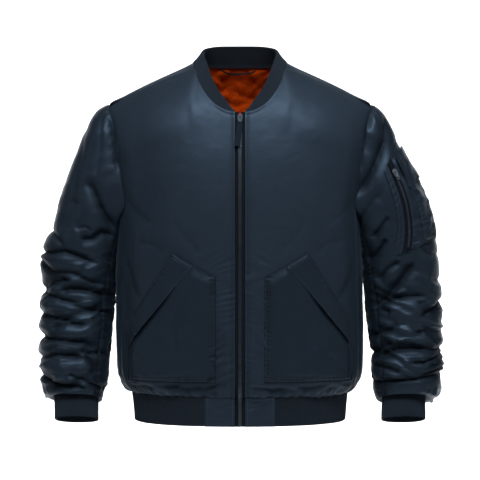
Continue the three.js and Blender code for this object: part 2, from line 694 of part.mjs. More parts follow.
function geometryOf(solid) {
  const mesh = solid.getMesh();
  const geometry = new THREE.BufferGeometry();
  geometry.setAttribute("position", new THREE.BufferAttribute(mesh.vertProperties, 3));
  geometry.setIndex(new THREE.BufferAttribute(mesh.triVerts, 1));
  geometry.computeVertexNormals();
  return geometry;
}

// A shape drawn as seen from the front, given a thickness outwards from a plane y.
function plateFrom(shape, thick, y) {
  const geometry = new THREE.ExtrudeGeometry(shape, { depth: thick, bevelEnabled: false, curveSegments: 8 });
  return geometry.rotateX(Math.PI / 2).translate(0, y, 0);
}

function sliderGeometry(chain) {
  const outline = new THREE.Shape();
  outline.moveTo(-SLIDER.lowHalf, -SLIDER.below);
  outline.lineTo(SLIDER.lowHalf, -SLIDER.below);
  outline.lineTo(SLIDER.topHalf, SLIDER.waist);
  outline.lineTo(SLIDER.topHalf - SLIDER.chamfer, SLIDER.above - 1);
  outline.lineTo(0, SLIDER.above);
  outline.lineTo(-SLIDER.topHalf + SLIDER.chamfer, SLIDER.above - 1);
  outline.lineTo(-SLIDER.topHalf, SLIDER.waist);
  const face = chain / 2 + SLIDER.clear;
  const frontPlate = solidFrom(plateFrom(outline, SLIDER.plate, -face));
  const backPlate = solidFrom(plateFrom(outline, SLIDER.plate, face + SLIDER.plate));
  const neckShape = new THREE.Shape();
  neckShape.moveTo(-SLIDER.neckHalf, SLIDER.clear);
  neckShape.lineTo(SLIDER.neckHalf, SLIDER.clear);
  neckShape.lineTo(SLIDER.neckHalf, SLIDER.above - 0.6);
  neckShape.lineTo(-SLIDER.neckHalf, SLIDER.above - 0.6);
  const neck = solidFrom(plateFrom(neckShape, 2 * face + 1, face + 0.5));
  // The bridge that the tab hangs from: a half ring on two short legs.
  const foot = -BRIDGE.height - 0.3;
  const arch = new THREE.Shape();
  arch.moveTo(foot, -BRIDGE.outer);
  arch.lineTo(0, -BRIDGE.outer);
  arch.absarc(0, 0, BRIDGE.outer, -Math.PI / 2, Math.PI / 2, false);
  arch.lineTo(foot, BRIDGE.outer);
  arch.lineTo(foot, BRIDGE.inner);
  arch.lineTo(0, BRIDGE.inner);
  arch.absarc(0, 0, BRIDGE.inner, Math.PI / 2, -Math.PI / 2, true);
  arch.lineTo(foot, -BRIDGE.inner);
  const bridge = new THREE.ExtrudeGeometry(arch, {
    depth: BRIDGE.wide,
    bevelEnabled: false,
    curveSegments: 10,
  });
  const stand = new THREE.Matrix4().makeBasis(
    new THREE.Vector3(0, -1, 0),
    new THREE.Vector3(0, 0, 1),
    new THREE.Vector3(-1, 0, 0),
  );
  bridge.applyMatrix4(stand).translate(BRIDGE.wide / 2, pivotY(chain), BRIDGE.z);
  return geometryOf(frontPlate.add(backPlate).add(neck).add(solidFrom(bridge)));
}

const pivotY = (chain) => -(chain / 2 + SLIDER.clear + SLIDER.plate + BRIDGE.height);

// The tab: a window round the bridge, a bar on the hinge's axis, and an eye or slot at its end.
function tabGeometry(chain, length, eye) {
  const shape = new THREE.Shape();
  const top = TAB.windowFrom;
  shape.moveTo(-TAB.half, top);
  shape.lineTo(-TAB.half, -length + eye);
  if (eye > TAB.half) {
    shape.absarc(0, -length + eye, eye, Math.PI, 2 * Math.PI, false);
  } else {
    shape.lineTo(-TAB.half, -length);
    shape.lineTo(TAB.half, -length);
  }
  shape.lineTo(TAB.half, top);
  const window = new THREE.Path();
  window.moveTo(-TAB.windowHalf, -TAB.windowFrom);
  window.lineTo(TAB.windowHalf, -TAB.windowFrom);
  window.lineTo(TAB.windowHalf, -TAB.windowTo);
  window.lineTo(-TAB.windowHalf, -TAB.windowTo);
  shape.holes.push(window);
  if (eye > TAB.half) {
    const hole = new THREE.Path();
    hole.absarc(0, -length + eye, eye - 1.6, 0, 2 * Math.PI, true);
    shape.holes.push(hole);
  }
  return plateFrom(shape, TAB.thick, pivotY(chain) + TAB.thick / 2).translate(0, 0, BRIDGE.z);
}

const TILT_SPAN = 30; // length of zip whose lean the slider takes
const zipTilt = Math.atan2(zipSurfaceY(ZIP.top) - zipSurfaceY(ZIP.top - TILT_SPAN), TILT_SPAN);
const frontHardware = new THREE.Group();
frontHardware.position.set(0, chainTopY + ZIP.chain / 2, ZIP.top);
frontHardware.rotation.x = -zipTilt;
jacket.add(frontHardware);
addPiece("front_zip_slider", sliderGeometry(ZIP.chain), METAL, frontHardware);
const TAB_LENGTH = 9;
addPiece("front_zip_tab", tabGeometry(ZIP.chain, TAB_LENGTH, 0), METAL, frontHardware);

const ribbonRows = [1, 0.66, 0.33, 0].map((share) =>
  [-0.5, 0, 0.5].map((side) => {
    const narrow = share === 0 ? 0.62 : 1;
    const drop = BRIDGE.z - TAB_LENGTH - SEAM - RIBBON.length * share;
    const x = side * RIBBON.width * narrow - RIBBON.lean * share;
    return new THREE.Vector3(x, pivotY(ZIP.chain) - RIBBON.thick / 2, drop);
  }),
);
addPiece("front_zip_ribbon", clothWall(ribbonRows, RIBBON.thick), NAVY, frontHardware);

// ---------------------------------------------------------------- sleeve pocket, on the left arm
// The slanted zip runs between two pocket panels, and a pen pocket with a flap lies on the outer one.
const ARM_POCKET = {
  zipTop: { station: 2.9, around: 117 },
  zipEnd: { station: 6.55, around: 97 },
  rows: 13,
  from: -0.08,
  to: 1.09,
  frontEdge: -20,
  backEdge: 84,
  zipGap: 7.6,
};
const PEN = {
  frontTop: 18,
  frontLow: 32,
  backEdge: 82,
  from: -0.04,
  to: 1.05,
  lift: 2.7,
  flap: 0.2,
  flapGap: 0.7,
};

function onSleeve(station, around, lift) {
  const at = sleevePoint(FOLDS.left, station, around);
  const along = sleevePoint(FOLDS.left, station + 0.1, around).sub(at);
  const round = sleevePoint(FOLDS.left, station, around + 1).sub(at);
  return at.addScaledVector(along.cross(round).normalize(), lift);
}

// A point beside the sleeve zip: a share of the way down it, and millimetres to its outer side.
function besideZip(share, side, lift) {
  const { zipTop, zipEnd } = ARM_POCKET;
  const station = mix(zipTop.station, zipEnd.station, share);
  const around = mix(zipTop.around, zipEnd.around, share);
  const at = onSleeve(station, around, 0);
  const next = onSleeve(station, around + 10, 0);
  const degrees = (10 * side) / at.distanceTo(next);
  return onSleeve(station, around + degrees, lift);
}

// Rows beside the zip that climb from one share to another; the front edge may slant.
function besideZipRows({ top, low = top }, backEdge, lift, cells, from, to) {
  return Array.from({ length: ARM_POCKET.rows + 1 }, (_, row) => {
    const share = mix(to, from, row / ARM_POCKET.rows);
    const frontEdge = mix(top, low, share);
    return Array.from({ length: cells + 1 }, (__, column) =>
      besideZip(share, mix(frontEdge, backEdge, column / cells), lift),
    );
  });
}

const { frontEdge, backEdge, zipGap, from, to } = ARM_POCKET;
const panelLift = LIFT + PATCH;
const frontPanel = besideZipRows({ top: frontEdge }, -zipGap, panelLift, 2, from, to);
const backPanelRows = besideZipRows({ top: zipGap }, backEdge, panelLift, 6, from, to);
addPiece("sleeve_pocket_front", clothWall(frontPanel, PATCH), NAVY);
addPiece("sleeve_pocket_back", clothWall(backPanelRows, PATCH), NAVY);

const penFront = { top: PEN.frontTop, low: PEN.frontLow };
const penRows = besideZipRows(penFront, PEN.backEdge, PEN.lift + PATCH, 5, PEN.from, PEN.to);
const flapFront = { top: PEN.frontTop - 1, low: PEN.frontLow - 1 };
const penFlapLift = PEN.lift + 2 * PATCH + PEN.flapGap;
const penFlapRows = besideZipRows(flapFront, PEN.backEdge + 1, penFlapLift, 5, PEN.from, PEN.flap);
addPiece("sleeve_pen_pocket", clothWall(penRows, PATCH), NAVY);
addPiece("sleeve_pen_flap", clothWall(penFlapRows, PATCH), NAVY);

const { tapeFrom, tapeTo, chainHalf, chain: armChain, lift: armLift } = SLEEVE_ZIP;
const tapeLift = armLift + TAPE / 2;
addPiece(
  "sleeve_zip_tape_front",
  clothWall(besideZipRows({ top: -tapeTo }, -tapeFrom, tapeLift, 1, from, to), TAPE),
  ZIP_TAPE,
);
addPiece(
  "sleeve_zip_tape_back",
  clothWall(besideZipRows({ top: tapeFrom }, tapeTo, tapeLift, 1, from, to), TAPE),
  ZIP_TAPE,
);
const chainRows = besideZipRows({ top: -chainHalf }, chainHalf, armLift + armChain / 2, 1, 0.006, 1);
addPiece("sleeve_zip_chain", clothWall(chainRows, armChain), METAL);

const armZipTop = besideZip(0, 0, armLift);
const armUp = armZipTop.clone().sub(besideZip(0.1, 0, armLift)).normalize();
const armIn = besideZip(0, 0, 0).sub(armZipTop);
armIn.addScaledVector(armUp, -armIn.dot(armUp)).normalize();
const armAcross = armIn.clone().cross(armUp);
const armHardware = new THREE.Group();
armHardware.position.copy(armZipTop);
armHardware.quaternion.setFromRotationMatrix(new THREE.Matrix4().makeBasis(armAcross, armIn, armUp));
jacket.add(armHardware);
const ARM_TAB = { length: 15, eye: 3.6 };
addPiece("sleeve_zip_slider", sliderGeometry(armChain), METAL, armHardware);
addPiece("sleeve_zip_tab", tabGeometry(armChain, ARM_TAB.length, ARM_TAB.eye), METAL, armHardware);

// ---------------------------------------------------------------- hanger loop inside the neck
const LOOP = { half: 33, middleX: -3, frontY: 71, endZ: 9, sag: 15, width: 5, thick: 1 };
const loopRows = [-LOOP.width / 2, LOOP.width / 2].map((offset) =>
  Array.from({ length: 13 }, (_, index) => {
    const share = mix(-1, 1, index / 12);
    const z = LOOP.endZ - LOOP.sag * (1 - share ** 4) + offset;
    return new THREE.Vector3(LOOP.middleX + LOOP.half * share, LOOP.frontY, z);
  }),
);
addPiece("hanger_loop", clothWall(loopRows, LOOP.thick), KNIT);

export default jacket;
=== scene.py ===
# %% [markdown]
# # A bomber jacket, built around its frame
# The frame gives the jacket's pieces as plain faceted solids. This lesson gives each piece its real
# surface: thin satin cloth with creases, rib knit, zips, stitches and their finishes. Sizes are in
# millimetres while a piece is worked out, and turn into metres when its mesh is made.

# %% The frame
import math

import bpy
import numpy as np
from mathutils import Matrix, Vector


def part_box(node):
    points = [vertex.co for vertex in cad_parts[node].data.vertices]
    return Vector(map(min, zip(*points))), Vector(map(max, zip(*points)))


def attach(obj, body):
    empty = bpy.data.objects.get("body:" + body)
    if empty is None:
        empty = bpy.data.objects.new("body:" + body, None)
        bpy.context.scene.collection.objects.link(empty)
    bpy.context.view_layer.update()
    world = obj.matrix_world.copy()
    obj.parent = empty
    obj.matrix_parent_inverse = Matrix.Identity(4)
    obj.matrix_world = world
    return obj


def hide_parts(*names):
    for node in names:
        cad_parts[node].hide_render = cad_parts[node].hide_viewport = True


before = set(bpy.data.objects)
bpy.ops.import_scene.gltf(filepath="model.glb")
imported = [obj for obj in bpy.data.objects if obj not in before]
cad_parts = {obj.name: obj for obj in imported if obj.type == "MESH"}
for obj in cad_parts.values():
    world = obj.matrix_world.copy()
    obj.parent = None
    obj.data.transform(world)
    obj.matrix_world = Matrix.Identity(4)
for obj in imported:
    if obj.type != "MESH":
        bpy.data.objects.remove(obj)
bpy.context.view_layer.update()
MM = 0.001
print("frame nodes:", len(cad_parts))

# %% [markdown]
# ## Camera, backdrop and light
# A cut-out on white is taken with a long lens at chest height. The backdrop is one pale sheet that
# curves from the floor into the wall, so no edge shows. The light is soft: one big panel above and in
# front, and two tall panels at the sides that draw the long highlights down the sleeves.

# %% Camera
VIEW_DISTANCE = 2.3
VIEW_HEIGHT = -0.322
VIEW_WIDTH = 0.888
camera_data = bpy.data.cameras.new("camera")
camera_data.sensor_width = 36
camera_data.lens = 36 * VIEW_DISTANCE / VIEW_WIDTH
camera_data.clip_end = 30
camera = bpy.data.objects.new("camera", camera_data)
camera.location = (0, -VIEW_DISTANCE, VIEW_HEIGHT)
camera.rotation_euler = (math.radians(90), 0, 0)
bpy.context.collection.objects.link(camera)
bpy.context.scene.camera = camera
print("lens", round(camera_data.lens, 1), "mm")


# %% Floor and backdrop
FLOOR_Z, WALL_Y = -1.45, 4.4


def backdrop_mesh():
    """One sheet: floor, a quarter round, then the wall."""
    width, near, wall, radius, top = 14.0, -6.0, WALL_Y, 1.2, 6.0
    profile = [(near, FLOOR_Z)]
    for step in range(13):
        turn = math.radians(90 * step / 12)
        profile.append((wall - radius + radius * math.sin(turn), FLOOR_Z + radius * (1 - math.cos(turn))))
    profile.append((wall, top))
    points = [(side * width / 2, y, z) for y, z in profile for side in (-1, 1)]
    faces = [(2 * i, 2 * i + 1, 2 * i + 3, 2 * i + 2) for i in range(len(profile) - 1)]
    mesh = bpy.data.meshes.new("backdrop")
    mesh.from_pydata(points, [], faces)
    mesh.polygons.foreach_set("use_smooth", [True] * len(faces))
    return mesh


backdrop = bpy.data.objects.new("backdrop", backdrop_mesh())
bpy.context.collection.objects.link(backdrop)


# %% Soft lights
def soft_light(name, place, aim, width, height, power, colour=(1, 1, 1)):
    data = bpy.data.lights.new(name, "AREA")
    data.shape = "RECTANGLE"
    data.size, data.size_y = width, height
    data.energy, data.color = power, colour
    lamp = bpy.data.objects.new(name, data)
    lamp.location = place
    lamp.rotation_euler = (Vector(aim) - Vector(place)).to_track_quat("-Z", "Y").to_euler()
    bpy.context.collection.objects.link(lamp)


COOL = (0.86, 0.93, 1)
MIDDLE = (0, 0, -0.3)
soft_light("key_above", (0.1, -1.5, 2.0), MIDDLE, 2.2, 1.2, 118, COOL)
soft_light("side_left", (-2.3, -0.9, 0.5), MIDDLE, 0.5, 1.8, 2.5, COOL)
soft_light("side_right", (2.3, -0.9, 0.5), MIDDLE, 0.5, 1.8, 2.5, COOL)
soft_light("wall_left", (-2.6, 1.6, 0.4), (-1.1, WALL_Y, -0.4), 1.8, 2.8, 190)
soft_light("wall_right", (2.6, 1.6, 0.4), (1.1, WALL_Y, -0.4), 1.8, 2.8, 190)
view = bpy.context.scene.view_settings
view.view_transform, view.look, view.exposure = "Standard", "None", 0.0
world = bpy.data.worlds.new("studio")
bpy.context.scene.world = world
world.use_nodes = True
world.node_tree.nodes["Background"].inputs["Color"].default_value = (0.93, 0.95, 1, 1)
world.node_tree.nodes["Background"].inputs["Strength"].default_value = 0.05
print("lights:", len(bpy.data.lights))

# %% [markdown]
# ## Shader maths as plain expressions
# A finish is worked out from patterns, and patterns are sums. One small class wraps a socket, so that
# an expression such as `1 - mask * 0.3` adds its own Math nodes. Every other node comes from one method.

# %% The socket wrapper and the finish maker
class Value:
    """A socket that takes part in sums."""

    def __init__(self, tree, socket):
        self.tree, self.socket = tree, socket

    def _math(self, operation, first, second, clamp=False):
        node = self.tree.nodes.new("ShaderNodeMath")
        node.operation, node.use_clamp = operation, clamp
        for slot, item in enumerate((first, second)):
            if isinstance(item, Value):
                self.tree.links.new(item.socket, node.inputs[slot])
            else:
                node.inputs[slot].default_value = item
        return Value(self.tree, node.outputs[0])

    def __add__(self, other):
        return self._math("ADD", self, other)

    def __radd__(self, other):
        return self._math("ADD", other, self)

    def __sub__(self, other):
        return self._math("SUBTRACT", self, other)

    def __rsub__(self, other):
        return self._math("SUBTRACT", other, self)

    def __mul__(self, other):
        return self._math("MULTIPLY", self, other)

    def __rmul__(self, other):
        return self._math("MULTIPLY", other, self)

    def __pow__(self, other):
        return self._math("POWER", self, other)

    def clamped(self):
        return self._math("ADD", self, 0.0, clamp=True)

    def line(self, sharp):
        """1 where the value crosses a half, falling fast to both sides."""
        away = self._math("ABSOLUTE", self - 0.5, 0.0)
        return (1 - away * sharp).clamped() ** 1.6


class Graph:
    """A node tree that is filled by one method."""

    def __init__(self, tree, family):
        self.tree, self.family = tree, family

    def node(self, kind, settings=None, output=0, **inputs):
        family = self.family if not kind.startswith(("Shader", "Function")) else ""
        node = self.tree.nodes.new(family + kind)
        for key, value in (settings or {}).items():
            if key == "stops":
                ramp = node.color_ramp
                while len(ramp.elements) < len(value):
                    ramp.elements.new(0.5)
                for element, (place, colour) in zip(ramp.elements, value):
                    element.position, element.color = place, colour
            else:
                setattr(node, key, value)
        for key, value in inputs.items():
            socket = node.inputs[key.replace("_", " ")]
            if isinstance(value, Value):
                self.tree.links.new(value.socket, socket)
            else:
                socket.default_value = value
        return Value(self.tree, node.outputs[output])


class Finish(Graph):
    """A material with one Principled shader."""

    def __init__(self, name, **constants):
        self.material = bpy.data.materials.new(name)
        self.material.use_nodes = True
        super().__init__(self.material.node_tree, "ShaderNode")
        self.shader = self.tree.nodes["Principled BSDF"]
        for socket, value in constants.items():
            self.shader.inputs[socket.replace("_", " ")].default_value = value

    def feed(self, socket, value):
        self.tree.links.new(value.socket, self.shader.inputs[socket])

    def place(self, scale=(1, 1, 1), uv=False):
        """Object coordinates in metres, or the cloth's own UV in metres, stretched per axis."""
        source = self.node("TexCoord", output=2 if uv else 3)
        return self.node("Mapping", Vector=source, Scale=scale)

    def noise(self, size, detail=2.0, rough=0.5, uv=False, stretch=(1, 1, 1)):
        """Soft noise whose blobs are about the given size in metres."""
        where = self.place(tuple(1 / (size * s) for s in stretch), uv)
        return self.node("TexNoise", Vector=where, Scale=1.0, Detail=detail, Roughness=rough)

    def stripes(self, width, direction="X"):
        """Waves along the cloth's own UV, a width apart."""
        kind = {"wave_type": "BANDS", "bands_direction": direction}
        where = self.place((1 / width,) * 3, uv=True)
        return self.node("TexWave", kind, output=1, Vector=where, Scale=math.pi / 10)

    def mixed(self, share, low, high):
        return self.node("ValToRGB", {"stops": [(0.0, (*low, 1)), (1.0, (*high, 1))]}, Fac=share)

    def blend(self, share, low, high):
        """From the low colour to the high one; the low one is a socket."""
        node = self.node("Mix", {"data_type": "RGBA"}, output=2)
        inputs = node.socket.node.inputs
        self.tree.links.new(share.socket, inputs[0])
        self.tree.links.new(low.socket, inputs[6])
        inputs[7].default_value = high
        return node

    def bump(self, height, distance, strength=1.0):
        return self.node("Bump", Height=height, Distance=distance, Strength=strength)


print("shader maths ready")

# %% [markdown]
# ## Finishes
# Flight satin is a fine nylon twill: almost black in shade, blue-grey where light rakes over it, with a
# soft wide sheen. Its crinkles are too small for geometry, so they are bump. The knit is matt wool and
# acrylic; the lining is bright satin, crinkled all over; the zips are blackened metal, worn at the edges.

# %% Satin and lining
# The colour of the painted shade in the depth of creases, along seams and between parts.
CREASE_SHADE_COLOUR = (0.0004, 0.0006, 0.001, 1)


def satin(name, low, high, rough, crinkle, crease=0):
    """Satin between two colours, darkened by painted shade where the fold attribute is high; crinkle is the
    bump in metres, crease the strength of long lines.
    """
    tint = (*(channel / max(high) for channel in high), 1)
    weave = Finish(name, IOR=1.34, Sheen_Weight=0.07, Sheen_Roughness=0.35, Sheen_Tint=tint,
                   Specular_Tint=tint)
    broad = weave.noise(0.16, 3)
    fine = weave.noise(0.013, 4, 0.55)
    # The fold attribute says where shade is painted; there the base colour is blended towards the painted
    # shade colour.
    fold = weave.node("Attribute", {"attribute_name": "fold"}, output=2)
    shade = (fold * 0.92).clamped()
    lit = weave.mixed((broad * 0.7 + fine * 0.3).clamped(), low, high)
    weave.feed("Base Color", weave.blend(shade, lit, CREASE_SHADE_COLOUR))
    weave.feed("Roughness", rough + fine * 0.12 - broad * 0.08 + shade * 0.35)
    wrinkles = weave.noise(0.022, 3, 0.6, stretch=(1.4, 1.4, 0.8))
    height = wrinkles + fine * 0.35
    if crease:
        lines = weave.noise(0.05, 1, 0.5, stretch=(2.0, 1.6, 0.45)).line(6)
        low_down = weave.node("SeparateXYZ", output=2, Vector=weave.place()) * -9 - 2.5
        height = height - lines * crease * low_down.clamped()
    weave.feed("Normal", weave.bump(height, crinkle))
    return weave.material


NAVY = satin("shell_nylon", (0.011, 0.016, 0.0225), (0.0165, 0.024, 0.0335), 0.45, 0.0003)
# The sleeve satin is the shell satin made darker, which is painted shade; its crease lines and crinkle are
# its own bump.
ARM_SATIN_SHADED = satin("sleeve_nylon", (0.0075, 0.011, 0.0157), (0.0135, 0.0195, 0.027), 0.4, 0.0006, 1.3)
# The pocket satin is the shell satin made darker, which is painted shade; its crinkle is its own bump.
PATCH_SHADED = satin("pocket_nylon", (0.007, 0.0103, 0.0148), (0.0125, 0.0182, 0.0255), 0.43, 0.0006)
ORANGE = satin("lining_nylon", (0.22, 0.014, 0.001), (0.62, 0.075, 0.004), 0.42, 0.003)
print("satins:", NAVY.name, ARM_SATIN_SHADED.name, PATCH_SHADED.name, ORANGE.name)


# %% Rib knit yarn
def knit_finish(name, low, high):
    wool = Finish(name, Roughness=0.88, IOR=1.25, Sheen_Weight=0.06, Sheen_Roughness=0.6,
                  Sheen_Tint=(0.5, 0.7, 1, 1))
    fluff = wool.noise(0.0011, 5, 0.7)
    broad = wool.noise(0.05, 2)
    loops = wool.stripes(0.0017, "Y")
    wool.feed("Base Color", wool.mixed((fluff * 0.6 + broad * 0.2 + loops * 0.2).clamped(), low, high))
    wool.feed("Normal", wool.bump(loops * 0.5 + fluff, 0.0006))
    return wool.material


KNIT = knit_finish("rib_knit", (0.003, 0.0048, 0.0075), (0.0105, 0.0155, 0.0225))
# A darker copy of the knit: painted shade for the inside of the collar.
KNIT_SHADED = knit_finish("rib_knit_inside", (0.0008, 0.0012, 0.0018), (0.003, 0.0042, 0.006))
print("knits:", KNIT.name, KNIT_SHADED.name)


# %% Woven tapes
def woven(name, low, high, rib):
    tape = Finish(name, Roughness=0.75, IOR=1.25, Specular_Tint=(0.6, 0.8, 1, 1))
    ribs = tape.stripes(rib, "Y")
    fluff = tape.noise(0.0008, 3)
    tape.feed("Base Color", tape.mixed((ribs * 0.6 + fluff * 0.4).clamped(), low, high))
    tape.feed("Normal", tape.bump(ribs + fluff * 0.3, 0.0003))
    return tape.material


TAPE = woven("zip_tape", (0.0015, 0.0022, 0.0034), (0.005, 0.007, 0.01), 0.0008)
RIBBON = woven("pull_ribbon", (0.004, 0.006, 0.009), (0.011, 0.015, 0.021), 0.0009)
HANGER = woven("hanger_tape", (0.005, 0.002, 0.0015), (0.014, 0.006, 0.004), 0.0009)
print("tapes:", TAPE.name, RIBBON.name, HANGER.name)


# %% Sewing thread
def thread_finish(name, low, high):
    thread = Finish(name, Roughness=0.6, Sheen_Weight=0.3)
    twist = thread.noise(0.0009, 2)
    thread.feed("Base Color", thread.mixed(twist, low, high))
    thread.feed("Normal", thread.bump(twist, 0.0002))
    return thread.material


THREAD = thread_finish("sewing_thread", (0.006, 0.009, 0.013), (0.02, 0.027, 0.038))
print("thread:", THREAD.name)


# %% Metal of the zips
def metal(name, low, high, rough):
    part = Finish(name, Metallic=0.85)
    wear = part.noise(0.002, 4, 0.65)
    grime = part.noise(0.008, 3)
    part.feed("Base Color", part.mixed((wear * 0.8 + grime * 0.3 - 0.1).clamped(), low, high))
    part.feed("Roughness", rough + grime * 0.25)
    part.feed("Normal", part.bump(wear, 0.00015))
    return part.material


TOOTH = metal("zip_teeth", (0.02, 0.024, 0.032), (0.16, 0.18, 0.21), 0.3)
METAL = metal("zip_metal", (0.05, 0.055, 0.065), (0.4, 0.42, 0.46), 0.25)
BLACKENED = metal("zip_metal_dark", (0.006, 0.008, 0.011), (0.045, 0.052, 0.062), 0.3)
print("metals:", TOOTH.name, METAL.name, BLACKENED.name)

# %% Backdrop paper
studio = Finish("studio_paper", Roughness=0.9)
grain = studio.noise(0.4, 2)
studio.feed("Base Color", studio.mixed(grain, (0.93, 0.93, 0.93), (0.96, 0.96, 0.96)))
backdrop.data.materials.append(studio.material)
print("finishes:", len(bpy.data.materials))

# %% [markdown]
# ## The jacket's form
# The same sections that shape the solids are repeated here, so every fine piece lies in the space of
# its solid. A table is turned into a smooth curve by Hermite steps, and everything below works on whole
# arrays of points at once.

# %% Curves through tables
def curve(keys, values, at):
    """Smooth values at the places `at`, through rows of values at rising or falling keys."""
    keys, values, at = (np.asarray(item, float) for item in (keys, values, at))
    if keys[0] > keys[-1]:
        keys, values = keys[::-1], values[::-1]
    order = np.arange(len(keys))
    low, high = np.clip(order - 1, 0, None), np.clip(order + 1, None, len(keys) - 1)
    tail = (1,) * (values.ndim - 1)
    slopes = (values[high] - values[low]) / (keys[high] - keys[low]).reshape((-1,) + tail)
    at = np.clip(at, keys[0], keys[-1])
    row = np.clip(np.searchsorted(keys, at, side="right") - 1, 0, len(keys) - 2)
    span = (keys[row + 1] - keys[row]).reshape(at.shape + tail)
    t = (at - keys[row]).reshape(at.shape + tail) / span
    bend = t * t * (3 - 2 * t)
    lift = slopes[row] * span * (t**3 - 2 * t**2 + t) + slopes[row + 1] * span * (t**3 - t**2)
    return values[row] * (1 - bend) + values[row + 1] * bend + lift


def mix(a, b, share):
    return a + (b - a) * share


def smooth(share):
    share = np.clip(share, 0, 1)
    return share * share * (3 - 2 * share)


def signed_power(value, power):
    return np.sign(value) * np.abs(value) ** power


def round_off(share, power):
    return (1 - np.clip(share, 0, 1) ** power) ** (1 / power)


# %% Body sections and shoulder line
HEM_Z, CHEST_Z, UNDERARM_Z = -598, -265, -300
SHOULDER_X, FRONT_EDGE_X = 241, 9
SIDE_SHARE, SIDE_ANGLE = 0.925, 65.1
BODY = {
    "z": [-598, -592, -578, -560, -520, -440, -360, -290, -230, -170, -110, -60, 0, 36],
    "wide": [200, 211, 222, 227, 229, 228, 226, 223, 226, 234, 249, 264, 270, 270],
    "front": [124, 129, 133, 134, 133, 132, 131, 129, 125, 117, 104, 92, 86, 84],
    "back": [118, 124, 129, 130, 128, 124, 121, 121, 123, 124, 119, 108, 100, 96],
}
RIDGE = {"x": [0, 40, 80, 98, 158, 205, 241], "z": [36, 28, 9, 0, -27, -50, -71]}
NECK = {"wide": 87, "front": 97, "back": 80, "front_drop": 102, "back_drop": 5, "z": 7}
# The height over which the body rounds off to the shoulder ridge.
ROUND_OFF = 110


def half_width(z):
    return curve(BODY["z"], BODY["wide"], z)


def ridge_z(x):
    return curve(RIDGE["x"], RIDGE["z"], np.abs(x))


def depth_at(z, side):
    return np.where(side < 0, curve(BODY["z"], BODY["front"], z), curve(BODY["z"], BODY["back"], z))


def full_depth(x, z, side):
    return side * depth_at(z, side) * round_off(np.abs(x) / half_width(z), 2.5)


def body_y(x, z, side):
    below = np.clip((ridge_z(x) - z) / ROUND_OFF, 0, 1)
    return full_depth(x, z, side) * round_off(1 - below, 1.6)


def wrap_point(angle, z):
    turn = np.radians(angle)
    side = np.where(angle < 90, -1, 1)
    x = half_width(z) * np.sin(turn) ** 0.8
    return np.stack([x, side * depth_at(z, side) * np.abs(np.cos(turn)) ** 0.8, z + 0 * x], -1)


def wrap_top_z(angle):
    share = np.abs(np.cos(np.radians(angle))) / math.cos(math.radians(SIDE_ANGLE))
    return UNDERARM_Z + (CHEST_Z - UNDERARM_Z) * share**1.6


def ridge_point(x, reach):
    z = ridge_z(x) - ROUND_OFF * (1 - round_off(np.abs(reach), 1.6))
    side = np.where(np.asarray(reach) < 0, -1, 1)
    return np.stack([x + 0 * z, np.abs(reach) * full_depth(x, z, side), z], -1)


def neck_point(angle):
    turn = np.radians(angle)
    ahead = np.cos(turn)
    depth = np.where(ahead > 0, NECK["front"], NECK["back"])
    drop = np.where(ahead > 0, NECK["front_drop"], NECK["back_drop"])
    x = NECK["wide"] * np.abs(np.sin(turn)) ** (2 / 2.4)
    z = NECK["z"] - drop * signed_power(ahead, 1.5)
    return np.stack([x, -depth * signed_power(ahead, 2 / 2.4), z], -1)


def neck_angle(x, side):
    angle = math.degrees(math.asin((x / NECK["wide"]) ** 1.2))
    return angle if side < 0 else 180 - angle


print("chest width", round(2 * float(half_width(CHEST_Z))), "mm")


# %% Lattices of the front and the back, as in the solids
LOWER_ROWS = np.array([0, 0.018, 0.06, 0.12, 0.22, 0.36, 0.52, 0.68, 0.84, 1])
UPPER_ROWS = np.array([0.2, 0.4, 0.58, 0.74, 0.87, 0.95, 1])
FRONT_TOP_X = [9, 24, 40, 55, 67, 76, 83, 110, 145, 180, 212, 241]
BACK_TOP_X = [0, 30, 55, 72, 84, 110, 145, 180, 212, 241]
NECK_COLUMNS = {"front": 7, "back": 5}
WRAP_ANGLES = [65.1, 78, 90, 102]
OVER_REACH = [0.1, -0.1]


def seam_drop(x):
    return mix(12, 5, (x - NECK["wide"]) / (SHOULDER_X - NECK["wide"]))


def upper_column(low_x, top, side):
    miss = top[1] - body_y(top[0], top[2], side)
    x = mix(low_x, top[0], UPPER_ROWS**1.5)
    z = mix(CHEST_Z, top[2], UPPER_ROWS)
    return np.stack([x, body_y(x, z, side) + miss * UPPER_ROWS**4, z], -1)


def lower_column(share, side, start=0.0):
    z = mix(HEM_Z, CHEST_Z, LOWER_ROWS)
    x = mix(start, SIDE_SHARE * half_width(z), share)
    return np.stack([x, body_y(x, z, side), z], -1)


def front_lattice():
    columns = []
    for index, top_x in enumerate(FRONT_TOP_X):
        low = lower_column(index / (len(FRONT_TOP_X) - 1), -1, FRONT_EDGE_X)
        seam_z = ridge_z(top_x) - seam_drop(top_x)
        top = np.array([top_x, body_y(top_x, seam_z, -1), seam_z])
        if index < NECK_COLUMNS["front"]:
            top = neck_point(neck_angle(top_x, -1))
        columns.append(np.concatenate([low, upper_column(low[-1, 0], top, -1)]))
    return np.stack(columns, 1)


def back_column(index):
    top_x = BACK_TOP_X[index]
    low = lower_column(index / (len(BACK_TOP_X) - 1), 1)
    if index < NECK_COLUMNS["back"]:
        top = neck_point(neck_angle(top_x, 1))
        over = neck_point(np.array([95, 82, neck_angle(83, -1)]))
    else:
        top = ridge_point(top_x, 0.3)
        reach = round_off(1 - seam_drop(top_x) / ROUND_OFF, 1.6)
        over = ridge_point(top_x, np.array([*OVER_REACH, -reach]))
    return np.concatenate([low, upper_column(low[-1, 0], top, 1), over])


